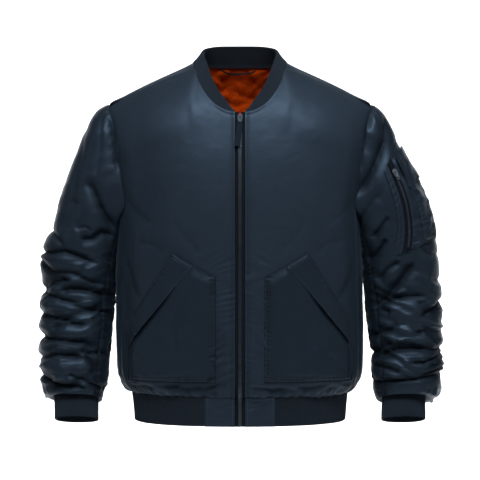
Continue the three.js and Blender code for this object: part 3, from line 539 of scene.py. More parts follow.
def back_lattice():
    """Half of the back with its side wrap: columns from the side seam to the centre back."""
    panel = [back_column(index) for index in range(len(BACK_TOP_X))]
    for index in (3, 2, 1, 0):
        panel[index][-3:] = 2 * panel[index + 1][-3:] - panel[index + 2][-3:]
    climb = panel[-1][len(LOWER_ROWS) :, 2] - CHEST_Z
    wraps = []
    for angle in WRAP_ANGLES:
        z = mix(HEM_Z, wrap_top_z(angle), LOWER_ROWS)
        low = wrap_point(np.full(len(z), angle), z)
        wraps.append(np.concatenate([low, low[-1] + climb[:, None] * [0, 0, 1]]))
    return np.stack([*wraps, *reversed(panel)], 1)


print("front lattice", front_lattice().shape, "back lattice", back_lattice().shape)

# %% [markdown]
# ## Cloth from a grid
# A piece of cloth is a grid of points: rows climb and columns run to the right, seen from outside. The
# grid is made fine and even, creased, and given a wall, so that it is one closed thin body. Its UV map
# holds the distances along the cloth, so a weave or a rib follows the piece.

# %% Fine grids
def refined(lattice, step_up, step_across):
    """A finer grid through a lattice, and where each lattice row and column went."""
    marks = []
    for step in (step_up, step_across):
        gaps = np.linalg.norm(np.diff(lattice, axis=0), axis=-1).mean(1)
        keys = np.concatenate([[0], np.cumsum(gaps)])
        cells = np.maximum(1, np.round(gaps / step)).astype(int)
        spans = zip(keys[:-1], keys[1:], cells)
        at = [np.linspace(start, end, count, endpoint=False) for start, end, count in spans]
        marks.append(np.concatenate([[0], np.cumsum(cells)]))
        lattice = np.swapaxes(curve(keys, lattice, np.concatenate([*at, keys[-1:]])), 0, 1)
    return lattice, marks[0], marks[1]


def grid_normals(grid, loop=False):
    across = np.roll(grid, -1, 1) - np.roll(grid, 1, 1) if loop else np.gradient(grid, axis=1)
    normal = np.cross(across, np.gradient(grid, axis=0))
    return normal / np.maximum(np.linalg.norm(normal, axis=-1, keepdims=True), 1e-9)


def raised(grid, height, loop=False):
    return grid + grid_normals(grid, loop) * np.broadcast_to(height, grid.shape[:2])[..., None]


def distances(grid, axis):
    steps = np.linalg.norm(np.diff(grid, axis=axis), axis=-1).mean(1 - axis)
    return np.concatenate([[0], np.cumsum(steps)])


def mirrored(grid):
    return (grid * [-1, 1, 1])[:, ::-1]


# %% A closed wall of cloth
def cloth(name, grid, wall, finish, keep=None, loop=False, inside=None, fold=None):
    """A Blender object; keep masks the cells that exist, wall may change from row to row, and fold is 1
    where the finish paints shade, as in the depth of a crease."""
    rows, count = grid.shape[:2]
    cells = np.meshgrid(np.arange(rows - 1), np.arange(count if loop else count - 1), indexing="ij")
    row, column = (item[keep] if keep is not None else item.ravel() for item in cells)
    right = (column + 1) % count
    low, high = row * count, (row + 1) * count
    quads = np.stack([low + column, low + right, high + right, high + column], -1)
    outer = grid.reshape(-1, 3)
    total = len(outer)
    inner = raised(grid, -np.broadcast_to(wall, grid.shape[:2]), loop).reshape(-1, 3)
    start, end = quads.ravel(), np.roll(quads, -1, 1).ravel()
    rim = ~np.isin(start * total + end, end * total + start)
    rim_faces = np.stack([end[rim], start[rim], start[rim] + total, end[rim] + total], -1)
    faces = np.concatenate([quads, quads[:, ::-1] + total, rim_faces])
    used, faces = np.unique(faces, return_inverse=True)
    faces = faces.reshape(-1, 4)
    mesh = bpy.data.meshes.new(name)
    mesh.from_pydata((np.concatenate([outer, inner])[used] * MM).tolist(), [], faces.tolist())
    mesh.polygons.foreach_set("use_smooth", np.ones(len(faces), bool))
    place = np.stack(np.meshgrid(distances(grid, 1)[:count], distances(grid, 0)), -1).reshape(-1, 2)
    place = np.tile(place, (2, 1))[used] * MM
    corners = np.empty(len(mesh.loops), int)
    mesh.loops.foreach_get("vertex_index", corners)
    mesh.uv_layers.new(name="cloth").data.foreach_set("uv", place[corners].ravel())
    mesh.attributes.new("across", "FLOAT", "POINT").data.foreach_set("value", place[:, 0])
    # fold becomes the attribute that tells the finish where to paint shade.
    if fold is not None:
        depth = np.tile(np.clip(fold, 0, 1).ravel(), 2)[used]
        mesh.attributes.new("fold", "FLOAT", "POINT").data.foreach_set("value", depth)
    mesh.materials.append(finish)
    if inside is not None:
        mesh.materials.append(inside)
        slots = np.zeros(len(faces), int)
        slots[len(quads) : 2 * len(quads)] = 1
        mesh.polygons.foreach_set("material_index", slots)
    mesh.set_sharp_from_angle(angle=math.radians(75))
    piece = bpy.data.objects.new(name, mesh)
    bpy.context.collection.objects.link(piece)
    return piece


# %% [markdown]
# ## Which piece stands for which solid
# Every finished piece rides on a body and stands for its solid. A cloth piece also says what it was cut
# to, which is measured on its smooth grid, before any crease.

# %% Declaring pieces
CUTS = {}


def declare(piece, body, nodes=()):
    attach(piece, body)
    if nodes:
        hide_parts(*nodes)


def declare_cloth(piece, grid, nodes, body="jacket", keep=None):
    """Says where a cloth piece belongs and the size it was cut to, from its smooth grid."""
    declare(piece, body, nodes)
    up, across = np.diff(grid, axis=0)[:, :-1], np.diff(grid, axis=1)[:-1]
    areas = np.linalg.norm(np.cross(across, up), axis=-1)
    area = float((areas[keep] if keep is not None else areas).sum()) * MM * MM
    wide = round(float(np.linalg.norm(np.diff(grid, axis=1), axis=-1).sum(1).max()) * MM, 3)
    long = round(float(np.linalg.norm(np.diff(grid, axis=0), axis=-1).sum(0).max()) * MM, 3)
    area = min(area, wide * long)
    CUTS[piece.name] = (wide, long, round(area, 4))


# %% [markdown]
# ## Creases placed by hand
# A cloth simulation would find folds of its own, but not the ones that make this jacket what it is, so
# the folds are listed one by one.
# A crease is a short path across the cloth with a depth and a width. The cloth dips sharply along the
# path and swells softly between paths, as bunched satin does. Small irregular waves from seeded noise
# run over everything, so no two folds are alike.

# %% Noise and creases
def value_noise(x, y, cell_x, cell_y, seed):
    """Seeded soft noise from -1 to 1, with blobs of the given size."""
    table = np.random.default_rng(seed).uniform(-1, 1, (64, 64))
    u, v = np.asarray(x) / cell_x + 1000, np.asarray(y) / cell_y + 1000
    i, j = np.floor(u).astype(int), np.floor(v).astype(int)
    s, t = smooth(u - i), smooth(v - j)
    low = mix(table[i % 64, j % 64], table[(i + 1) % 64, j % 64], s)
    high = mix(table[i % 64, (j + 1) % 64], table[(i + 1) % 64, (j + 1) % 64], s)
    return mix(low, high, t)


def path_distance(x, z, path):
    """Distance to a path, and the share of the path's length at the nearest place."""
    path = np.asarray(path, float)
    lengths = np.linalg.norm(np.diff(path, axis=0), axis=1)
    before = np.concatenate([[0], np.cumsum(lengths)])
    best = np.full(x.shape, 1e9)
    share = np.zeros(x.shape)
    for index, (start, end) in enumerate(zip(path[:-1], path[1:])):
        way = end - start
        t = np.clip(((x - start[0]) * way[0] + (z - start[1]) * way[1]) / (way @ way), 0, 1)
        gap = np.hypot(x - start[0] - t * way[0], z - start[1] - t * way[1])
        nearer = gap < best
        best = np.where(nearer, gap, best)
        share = np.where(nearer, (before[index] + t * lengths[index]) / before[-1], share)
    return best, share


def creased(x, z, folds):
    """How far the cloth moves out at each point: it dips along every path."""
    dip = np.zeros(x.shape)
    for depth, width, path in folds:
        gap, share = path_distance(x, z, path)
        ends = smooth(np.minimum(share, 1 - share) / 0.22 + 0.12)
        mine = depth * ends * (0.6 * np.exp(-((gap / width) ** 1.15)) + 0.4 * np.exp(-gap / (0.33 * width)))
        dip = np.maximum(dip, mine) + 0.25 * np.minimum(dip, mine)
    return -dip


def seam_pucker(along, away, pitch, reach, seed):
    """The short ripples beside a row of stitches."""
    slip = 2.5 * value_noise(along, 0 * along, 4 * pitch, 1, seed)
    ripple = np.sin(2 * np.pi * (along / pitch + slip + 0.02 * away))
    strength = 0.6 + 0.4 * value_noise(along, 0 * along, 3 * pitch, 1, seed + 1)
    return ripple * strength * np.exp(-np.abs(away / reach) ** 1.3)


print("crease tools ready")

# %% [markdown]
# ## Body cloth
# The two fronts and the back are smooth over the chest and blouse over the hem rib. Above the rib the
# spare cloth folds over in shallow tucks, and beside every seam the thread draws up short puckers. The
# waves are worked out on the angle round the body, so they run on from a front to the back.

# %% Relief of the body
SHELL_WALL = 1.3


def body_arc(point):
    """Millimetres round the body from the centre front, growing to the wearer's left."""
    share = np.clip(np.abs(point[..., 0]) / half_width(point[..., 2]), 0, 1)
    turn = np.degrees(np.arcsin(share**1.25))
    turn = np.where(point[..., 1] > 0, 180 - turn, turn)
    return np.sign(point[..., 0] + 1e-6) * turn * 2.35


BODY_FOLDS = [
    (1.0, 12, [(66, -352), (96, -318), (118, -286)]),
    (1.5, 10, [(132, -352), (150, -330), (190, -322)]),
    (2.4, 10, [(176, -430), (196, -392), (206, -352)]),
    (2.0, 12, [(150, -300), (186, -272), (212, -240)]),
    (-0.8, 12, [(120, -330), (150, -300), (180, -286)]),
    (2.0, 14, [(208, -480), (214, -430), (212, -380)]),
]
HEM_FOLDS = [
    (3.6, 7, [(12, -583), (34, -579), (60, -586), (82, -580)]),
    (3.0, 6, [(46, -592), (70, -584), (104, -588)]),
    (3.8, 7, [(96, -578), (124, -584), (152, -580)]),
    (3.2, 7, [(140, -590), (166, -584), (196, -587)]),
    (3.4, 7, [(176, -576), (200, -580), (222, -574)]),
    (2.4, 5, [(60, -576), (72, -585), (78, -594)]),
    (2.4, 5, [(118, -575), (112, -586), (118, -594)]),
    (2.2, 5, [(160, -577), (170, -588), (172, -595)]),
]


def body_relief(point, seed):
    x, z = point[..., 0], point[..., 2]
    arc = body_arc(point)
    out = 2.2 * value_noise(arc, z, 90, 130, seed) + 0.5 * value_noise(arc, z, 34, 60, seed + 1)
    low = smooth((-z - 330) / 150)
    out += low * 1.2 * value_noise(arc + 0.5 * z, z, 30, 46, seed + 2)
    out += 0.14 * value_noise(arc, z, 7, 9, seed + 3)
    side = np.where(x < 0, 9, 0) * np.sin(z / 9)
    out += creased(np.abs(x) + 0.4 * side, z + 0.3 * side, BODY_FOLDS + HEM_FOLDS)
    hem = smooth((-z - 562) / 20)
    out += hem * 2.2 * value_noise(arc, z, 17, 8, seed + 4)
    gather = smooth((-z - 580) / 16)
    out += gather * 1.1 * np.sin(arc / 2.1 + 3 * value_noise(arc, 0 * arc, 24, 1, seed + 5))
    return out


def armhole_pucker(point, seed):
    """Ripples that cross the armhole seam, on points above the chest."""
    x, z = point[..., 0], point[..., 2]
    climb = np.clip((z - CHEST_Z) / (ridge_z(SHOULDER_X) - CHEST_Z), 0, 1)
    edge = mix(SIDE_SHARE * half_width(CHEST_Z), SHOULDER_X, climb**1.5)
    away = np.where(z > CHEST_Z, edge - np.abs(x), 99)
    return 1.0 * seam_pucker(z, away, 8.5, 9, seed) * smooth((z - CHEST_Z) / 30)


def body_painted_shade(point, relief):
    """Painted shade: 1 in the depth of the body's creases and along the armhole seam, and more towards the
    sides lower down.
    """
    x, z = point[..., 0], point[..., 2]
    climb = np.clip((z - CHEST_Z) / (ridge_z(SHOULDER_X) - CHEST_Z), 0, 1)
    away = mix(SIDE_SHARE * half_width(CHEST_Z), SHOULDER_X, climb**1.5) - np.abs(x)
    seam = np.where(z > CHEST_Z, np.exp(-((away / 3) ** 2)), 0)
    shaded_sides = smooth((np.abs(x) / half_width(z) - 0.74) / 0.24) * smooth((-z - 170) / 140)
    return 0.5 * seam + np.clip((-relief - 0.7) / 5, 0, 0.6) + 0.5 * shaded_sides


def hem_tuck(grid):
    """A row below the lowest one that turns in to the rib, so nothing shows between them."""
    outward = grid[:1] * [1, 1, 0]
    return grid[:1] - 9 * outward / np.linalg.norm(outward, axis=-1, keepdims=True) + [0, 0, 0.8]


# %% The two fronts
FRONT_STEP = 3.2
front_lattice_left = front_lattice()
fronts = {}
for side, seed in (("left", 21), ("right", 33)):
    lattice = front_lattice_left if side == "left" else mirrored(front_lattice_left)
    flat = refined(lattice, FRONT_STEP, FRONT_STEP)[0]
    across = np.abs(flat[..., 0]) - FRONT_EDGE_X
    z = flat[..., 2]
    strip = smooth((-z - 300) / 90) * smooth((z + 590) / 20)
    relief = body_relief(flat, seed) * smooth(across / 22) + armhole_pucker(flat, seed + 7)
    relief += strip * 1.5 * seam_pucker(z, across - 5, 13, 26, seed + 8)
    relief += strip * 1.3 * seam_pucker(z + 0.3 * across, across - 30, 9, 12, seed + 9)
    relief += 1.1 * np.exp(-(((across - 1.5) / 3.2) ** 2)) - 1.3 * np.exp(-(((across - 6) / 1.6) ** 2))
    to_side = np.arange(flat.shape[1])[None] * FRONT_STEP
    relief *= smooth((to_side if side == "right" else to_side[:, ::-1]) / 12)
    to_shoulder = np.linalg.norm(flat - flat[-1:], axis=-1)
    relief = relief * smooth(to_shoulder / 14) - 0.9 * np.exp(-(((to_shoulder - 7) / 2) ** 2))
    grid = raised(flat, relief)
    # Painted shade: the body's shade, and a line of it in the groove beside the front edge.
    fold = body_painted_shade(flat, relief) + 0.5 * np.exp(-(((across - 5.5) / 1.8) ** 2))
    under = grid[-1:] + 1.2 * (grid[-1:] - grid[-2:-1]) + [0, 0, -2.2]
    sewn = np.concatenate([hem_tuck(grid), grid, under])
    fold = np.pad(fold, ((1, 1), (0, 0)))
    piece = cloth(f"front_{side}_cloth", sewn, SHELL_WALL, NAVY, inside=ORANGE, fold=fold)
    declare_cloth(piece, flat, [f"front_{side}"])
    fronts[side] = grid
    print(piece.name, len(piece.data.polygons), "faces")

# %% [markdown]
# ## The back
# The back panel reaches over the shoulders to seams that lie just in front of the ridge, and round both
# sides to the side seams. It doesn't show in front, but it carries the same tucks above the hem.

# %% The back panel
BACK_STEP = 4.0
half = back_lattice()
lattice = np.concatenate([half, mirrored(half)[:, 1:]], 1)
BACK_FOLDS = [
    (3.0, 14, [(20, -120), (60, -150), (110, -150)]),
    (3.4, 14, [(150, -230), (110, -300), (70, -400)]),
    (2.6, 12, [(196, -300), (170, -360), (150, -440)]),
    (2.6, 14, [(40, -470), (90, -500), (160, -500)]),
]
flat, back_rows, back_columns = refined(lattice, BACK_STEP, BACK_STEP)
relief = body_relief(flat, 57) + armhole_pucker(flat, 61)
relief += creased(flat[..., 0] + 20 * np.sin(flat[..., 2] / 60), flat[..., 2], BACK_FOLDS)
relief += creased(-flat[..., 0] + 14, flat[..., 2] + 22, BACK_FOLDS)
chest_row, fade_row, neck_row = back_rows[9], back_rows[15], back_rows[16]
level = np.arange(len(flat))[:, None]
below_neck = (neck_row - level) * BACK_STEP
relief = np.where(level >= fade_row, 0.3 * relief * smooth(below_neck / 14), relief)
side_seam = np.minimum(np.arange(flat.shape[1]), np.arange(flat.shape[1])[::-1])[None] * BACK_STEP
relief = np.maximum(relief * smooth(side_seam / 12), -2.0)
back_grid = raised(flat, relief)
column = np.arange(flat.shape[1] - 1)[None]
row = np.arange(len(flat) - 1)[:, None]
in_panel = (column >= back_columns[4]) & (column < back_columns[-5])
beside_neck = (column < back_columns[9]) | (column >= back_columns[-10])
keep = (row < chest_row) | (in_panel & ((row < neck_row) | beside_neck))
# Painted shade in the creases, along the armhole seams and towards the sides lower down.
fold = np.pad(body_painted_shade(flat, relief), ((1, 0), (0, 0)))
sewn = np.concatenate([hem_tuck(back_grid), back_grid])
sewn_keep = np.pad(keep, ((1, 0), (0, 0)), mode="edge")
piece = cloth("back_cloth", sewn, SHELL_WALL, NAVY, keep=sewn_keep, inside=ORANGE, fold=fold)
declare_cloth(piece, flat, ["back"], keep=keep)
print(piece.name, len(piece.data.polygons), "faces")

# %% [markdown]
# ## The sleeves
# The sleeves hold most of the character: long drag folds fall from the shoulder and meet in the armpit,
# and below the elbow the spare length bunches into soft rolls with sharp valleys. The valleys are listed
# as seen from the front; the hidden side carries the same kind, shifted a little.

# %% Sleeve form
SLEEVE = {
    "outer_x": [262, 277, 291, 314, 333, 348, 358, 363, 366, 368, 370, 371, 372, 371, 370, 366, 359, 350],
    "outer_z": [-85, -112, -141, -185, -226, -261, -293, -325, -360, -400, -440, -480, -515, -545, -570,
                -590, -604, -611],
    "inner_x": [216, 213, 212, 212, 213, 216, 219, 222, 226, 229, 232, 235, 237, 239, 240, 243, 247, 251],
    "inner_z": [-285, -305, -312, -320, -330, -342, -355, -371, -390, -418, -448, -481, -515, -545, -570,
                -590, -604, -611],
    "y": [2, 3, 4, 5, 6, 7, 8, 8, 7, 4, -1, -8, -17, -26, -33, -38, -42, -45],
    "deep": [76, 77, 77, 77, 76, 75, 75, 74, 73, 72, 71, 69, 67, 65, 62, 58, 50, 41],
    "tilt": [0, 0, 0, 0, 0, 0, 0, 0, 1, 4, 8, 12, 15, 17, 19, 20, 21, 21],
}
LAST_STATION = 17
STATIONS = np.arange(LAST_STATION + 1)
UNDER_ANGLE = 38
CUFF = {"top": (297, -44, -598), "bottom": (294, -62, -645), "wide": 39, "deep": 27, "tilt": 21}


def armhole_point(around):
    fold = np.where(around <= 180, around, 360 - around)
    side = np.where(around <= 180, -1, 1)
    angle = mix(90, SIDE_ANGLE, np.clip(fold / 48, 0, 1))
    low = wrap_point(np.where(side < 0, angle, 180 - angle), wrap_top_z(angle))
    climb = np.sin(np.pi / 2 * np.clip((fold - 48) / 132, 0, 1))
    z = mix(CHEST_Z, ridge_z(SHOULDER_X), climb)
    x = mix(SIDE_SHARE * half_width(CHEST_Z), SHOULDER_X, climb**1.5)
    high = np.stack([x, body_y(x, z, side), z], -1)
    return np.where((fold < 48)[..., None], low, high)


def sleeve_point(station, around, clearance=4.5):
    """Points of the wearer's left sleeve at stations down the arm and angles round it."""
    turn = np.radians(around)
    at = {key: curve(STATIONS, values, station) for key, values in SLEEVE.items()}
    outer = np.stack([at["outer_x"], 0 * station, at["outer_z"]], -1)
    inner = np.stack([at["inner_x"], 0 * station, at["inner_z"]], -1)
    centre = (outer + inner) / 2
    centre[..., 1] = at["y"]
    tilt = np.radians(at["tilt"])
    forward = np.stack([0 * tilt, -np.cos(tilt), np.sin(tilt)], -1)
    across = -signed_power(np.cos(turn), 2 / 2.2)[..., None] * (outer - inner) / 2
    ahead = (at["deep"] * signed_power(np.sin(turn), 2 / 2.2))[..., None] * forward
    start = armhole_point(around) + [1.2, 0, -0.6]
    point = mix(start, centre + across + ahead, smooth(station / 4)[..., None])
    clear = mix(1.6, clearance, smooth((-point[..., 2] - 400) / 60))
    side = np.where(point[..., 1] < 0, -1, 1)
    depth = depth_at(point[..., 2], side)
    body = half_width(point[..., 2]) * round_off(np.abs(point[..., 1]) / depth, 2.5) + clear
    low = (point[..., 2] > HEM_Z) & (point[..., 2] < UNDERARM_Z + 30)
    point[..., 0] = np.where(low, np.maximum(point[..., 0], body), point[..., 0])
    return point


def cuff_point(share, around, out=0.0):
    tilt = math.radians(CUFF["tilt"])
    turn = np.radians(around)
    centre = mix(np.array(CUFF["top"], float), np.array(CUFF["bottom"], float), np.asarray(share)[..., None])
    x = -(CUFF["wide"] + out) * signed_power(np.cos(turn), 2 / 2.2)
    f = (CUFF["deep"] + out) * signed_power(np.sin(turn), 2 / 2.2)
    return centre + np.stack([x, -math.cos(tilt) * f, math.sin(tilt) * f], -1)


# %% Sleeve creases (depth, width, path of x and z seen from the front)
LEFT_FOLDS = [
    (8, 15, [(258, -96), (262, -141), (250, -171), (236, -198), (219, -226), (205, -246)]),
    (3, 7, [(238, -76), (238, -99), (234, -128)]),
    (4, 10, [(259, -232), (243, -246), (224, -270), (207, -299)]),
    (6, 12, [(270, -276), (253, -299), (235, -320)]),
    (6, 10, [(264, -316), (247, -343), (230, -360)]),
    (10, 14, [(318, -356), (295, -387), (271, -413), (240, -446)]),
    (6, 11, [(290, -358), (264, -374), (245, -396)]),
    (8, 11, [(340, -424), (303, -421), (273, -426), (245, -441)]),
    (9, 12, [(376, -428), (345, -448), (318, -464)]),
    (4, 8, [(342, -428), (319, -436)]),
    (5, 9, [(248, -442), (270, -453)]),
    (8, 11, [(306, -489), (334, -484), (360, -510)]),
    (5, 10, [(286, -472), (264, -483), (234, -496)]),
    (10, 12, [(352, -518), (308, -512), (282, -513), (258, -523), (234, -539)]),
    (9, 11, [(296, -541), (329, -540), (380, -524)]),
    (6, 8, [(330, -550), (376, -536)]),
    (6, 10, [(238, -546), (264, -552), (286, -559)]),
    (6, 9, [(316, -566), (340, -558), (366, -550)]),
    (9, 11, [(226, -579), (273, -574), (316, -570), (380, -560)]),
    (4, 10, [(320, -330), (344, -346), (375, -350)]),
    (5, 10, [(340, -392), (362, -396), (384, -392)]),
    (7, 9, [(270, -500), (249, -518), (230, -534)]),
]
RIGHT_FOLDS = [
    (8, 14, [(281, -210), (265, -230), (251, -261), (234, -288), (222, -304)]),
    (8, 13, [(290, -320), (265, -320), (248, -309), (226, -314)]),
    (4, 10, [(298, -302), (279, -297), (264, -308)]),
    (5, 9, [(354, -304), (328, -323), (312, -338)]),
    (9, 12, [(372, -343), (340, -345), (316, -342), (291, -351), (254, -366)]),
    (3, 10, [(310, -246), (294, -258)]),
    (7, 11, [(360, -360), (341, -379), (300, -381), (269, -396), (234, -405)]),
    (10, 11, [(366, -410), (340, -396), (318, -393), (300, -399)]),
    (9, 12, [(334, -414), (306, -408), (275, -412), (230, -425)]),
    (8, 11, [(372, -414), (327, -427), (300, -433), (279, -430)]),
    (6, 10, [(310, -436), (281, -443), (236, -454)]),
    (9, 11, [(378, -452), (340, -461), (318, -464), (290, -465)]),
    (7, 10, [(345, -486), (331, -474), (300, -470), (270, -475)]),
    (10, 12, [(378, -496), (327, -499), (275, -503), (248, -524)]),
    (5, 8, [(350, -518), (328, -510)]),
    (9, 11, [(376, -534), (331, -526), (300, -526), (271, -536)]),
    (6, 9, [(286, -516), (269, -524), (240, -525)]),
    (6, 10, [(277, -524), (259, -547), (257, -565)]),
    (6, 11, [(314, -557), (285, -569), (236, -592)]),
    (9, 11, [(372, -566), (327, -584), (300, -585), (264, -587)]),
    (4, 12, [(240, -104), (226, -150), (220, -200)]),
]
# Light drag lines that both sleeves share, from the shoulder down the outer side.
DRAG_FOLDS = [
    (2.5, 13, [(266, -92), (284, -150), (300, -210), (312, -280)]),
    (2, 12, [(246, -90), (252, -160), (262, -220)]),
]


# %% Sleeve cloth
SLEEVE_STEP = 3.3
SLEEVE_ROWS = 172
# Rows that turn in under the cuff (share of the cuff, distance out) and under the body (shift).
CUFF_TUCK = ((0.19, 4.5), (0.15, 1.6), (0.1, 0.5), (0.0, 0.4))
ARMHOLE_TUCK = ((-9.0, 0.0, -4.0), (-4.0, 0.0, -3.0))


def pocket_area(station, around):
    """1 under the arm pocket, falling to 0 around it."""
    along = smooth((station - 2.3) / 0.5) * smooth((7.1 - station) / 0.5)
    return along * smooth((around - 84) / 10) * smooth((196 - around) / 14)


def run_out(path):
    """A path that ends at the sleeve's outline runs on past it, so that it notches the outline."""
    path = [np.array(place, float) for place in path]
    for end, before, at in ((path[0], path[1], 0), (path[-1], path[-2], len(path))):
        if end[0] > 350:
            way = (end - before) * [1, 0.5]
            path.insert(at, end + 45 * way / np.linalg.norm(way))
    return path


def sleeve_relief(point, around, down, folds, seed):
    """Creases, waves and seam puckers, as distances out from the smooth sleeve."""
    x, z = point[..., 0], point[..., 2]
    hidden = smooth(-np.sin(np.radians(around)) * 1.6)
    front_x = x + hidden * 9 * value_noise(z, down, 60, 60, seed + 3)
    front_z = z + hidden * (7 + 16 * value_noise(x, z, 50, 70, seed + 4))
    folds = [(depth, 0.9 * width, run_out(path)) for depth, width, path in folds + DRAG_FOLDS]
    out = 1.4 * creased(front_x, front_z, folds) * (1 - 0.15 * hidden)
    bunch = smooth((-z - 300) / 160)
    arc = around * 1.25
    slant = z + 0.35 * x
    bend = 9 * value_noise(arc, slant, 40, 40, seed + 5)
    fan = slant + bend + 0.12 * (arc - 90) * value_noise(slant, arc, 70, 90, seed + 9)
    out += (0.3 + 2.3 * bunch) * (1 - 2.2 * np.abs(value_noise(arc, fan, 85, 17, seed)) ** 0.8)
    out += (0.4 + 0.5 * bunch) * value_noise(arc, slant, 26, 11, seed + 1)
    out += (0.12 + 0.15 * bunch) * value_noise(arc, slant, 8, 5, seed + 2)
    for seam in (UNDER_ANGLE, 360 - UNDER_ANGLE):
        away = (around - seam) * 1.2
        out += 1.3 * seam_pucker(down, away, 9, 9, seed + 6) * smooth(down / 40)
        out -= 2.2 * np.exp(-((away / 2.4) ** 2))
    out += 1.8 * smooth(1 - np.abs(z + 606) / 26) * value_noise(arc, 0 * arc, 7, 1, seed + 7)
    near_body = np.cos(np.radians(around)) > 0.6
    return np.where(near_body, np.minimum(out, 0.5), out)


# How far the real outline stands off the even sleeve, at heights down the arm.
OUTLINE = {
    "z": [-70, -92, -130, -160, -200, -240, -290, -320, -355, -390, -430, -480, -530, -580],
    "left": [0, 9, 10, 1, 0, 0, 0, 0, 3, 3, 6, 1, 5, 0],
    "right": [0, 11, 11, 4, -2, -7, -12, -2, 9, 0, 0, -2, -2, -4],
}


def outline(flat, around, arm):
    outer = smooth((-np.cos(np.radians(around)) + 0.1) / 0.8)
    return outer * curve(OUTLINE["z"], OUTLINE[arm], flat[..., 2])


def sleeve_painted_shade(relief, around, down, flat):
    """Painted shade: 1 in the valleys, at the armhole seam, and where the sleeve lies against the body."""
    fold = 0.9 * smooth((-relief - 0.5) / 7) + 0.6 * np.exp(-((down / 3.5) ** 2))
    against = smooth((np.cos(np.radians(around)) - 0.35) / 0.5) * smooth((-flat[..., 2] - 230) / 60)
    return fold + 0.75 * against


def sleeve_grid(folds, seed, arm, first, last):
    """Rows down the arm from the armhole, columns falling from the first angle to the last."""
    count = int(round((first - last) * 1.28 / SLEEVE_STEP))
    stations, angles = np.linspace(0, LAST_STATION, SLEEVE_ROWS), np.linspace(first, last, count + 1)
    station, angle = np.meshgrid(stations, angles, indexing="ij")
    around = angle % 360
    flat = sleeve_point(station, around)
    down = distances(flat, 0)[:, None] + 0 * station
    relief = sleeve_relief(flat, around, down, folds, seed)
    fade = smooth(station / 0.9) * smooth((LAST_STATION - station) / 0.8)
    pocket = arm == "left"
    relief = relief * fade - 1.2 * np.exp(-((down / 2.5) ** 2))
    relief += outline(flat, around, arm) * smooth(station / 0.5)
    relief += 0.9 * seam_pucker(angle * 1.25, down - 6, 8, 10, seed + 8)
    if pocket:
        relief *= 1 - pocket_area(station, around)
    grid = raised(flat, relief)
    sag = smooth((-flat[..., 2] - 330) / 120) * np.maximum(relief + 5, 0) * fade
    grid[..., 2] -= 0.3 * sag * (1 - pocket * pocket_area(station, around))
    tuck = [cuff_point(np.full(count + 1, share), around[0], out) for share, out in CUFF_TUCK]
    seam = [armhole_point(around[0]) * [1, 0.965, 1] + shift for shift in ARMHOLE_TUCK]
    # Painted shade in the sleeve's valleys, at its seam and against the body, and an even painted shade on
    # the rows tucked under the armhole and the cuff.
    fold = sleeve_painted_shade(relief - outline(flat, around, arm), around, down, flat)
    fold = np.pad(fold, ((len(seam), len(tuck)), (0, 0)), constant_values=0.6)
    return np.concatenate([seam, flat, tuck]), np.concatenate([seam, grid, tuck]), fold


PARTS = {"upper": (360 - UNDER_ANGLE, UNDER_ANGLE), "under": (UNDER_ANGLE, -UNDER_ANGLE)}
for arm, folds, seed in (("left", LEFT_FOLDS, 11), ("right", RIGHT_FOLDS, 47)):
    for part, angles in PARTS.items():
        flat, grid, fold = sleeve_grid(folds, seed, arm, *angles)
        if arm == "right":
            flat, grid, fold = mirrored(flat), mirrored(grid), fold[:, ::-1]
        piece = cloth(f"sleeve_{arm}_{part}_cloth", grid, SHELL_WALL, ARM_SATIN_SHADED, fold=fold)
        declare_cloth(piece, flat, [f"sleeve_{arm}_{part}"])
        print(piece.name, len(piece.data.polygons), "faces")

# %% [markdown]
# ## Rib knit
# Collar, cuffs and hem are doubled rib knit: fine upright ribs, with rounded edges where the knit is
# folded over. Each rib piece starts as a smooth wall with close rows at its folded edge. A Geometry
# Nodes tree then pushes its faces in and out along the rib direction, because ribs are a rule and not
# a shape to place by hand.

# %% The ribbing tree
def node_group(name, **inputs):
    """A Geometry Nodes group with a geometry input, named inputs and one output."""
    tree = bpy.data.node_groups.new(name, "GeometryNodeTree")
    tree.interface.new_socket("Geometry", in_out="INPUT", socket_type="NodeSocketGeometry")
    for key, (kind, value) in inputs.items():
        socket = tree.interface.new_socket(key, in_out="INPUT", socket_type="NodeSocket" + kind)
        if value is not None:
            socket.default_value = value
    tree.interface.new_socket("Geometry", in_out="OUTPUT", socket_type="NodeSocketGeometry")
    graph = Graph(tree, "GeometryNode")
    start = tree.nodes.new("NodeGroupInput")
    given = {socket.name: Value(tree, socket) for socket in start.outputs if socket.name}
    return graph, given


def close_group(graph, geometry):
    end = graph.tree.nodes.new("NodeGroupOutput")
    graph.tree.links.new(geometry.socket, end.inputs[0])


def grown(source, graph, name, **inputs):
    """Runs a tree on an object and returns the result as a plain object; the source goes away."""
    modifier = source.modifiers.new("grow", "NODES")
    modifier.node_group = graph.tree
    for item in graph.tree.interface.items_tree:
        if item.in_out == "INPUT" and item.name in inputs:
            modifier[item.identifier] = inputs[item.name]
    depsgraph = bpy.context.evaluated_depsgraph_get()
    mesh = bpy.data.meshes.new_from_object(source.evaluated_get(depsgraph))
    mesh.name = name
    bpy.data.objects.remove(source)
    piece = bpy.data.objects.new(name, mesh)
    bpy.context.collection.objects.link(piece)
    return piece


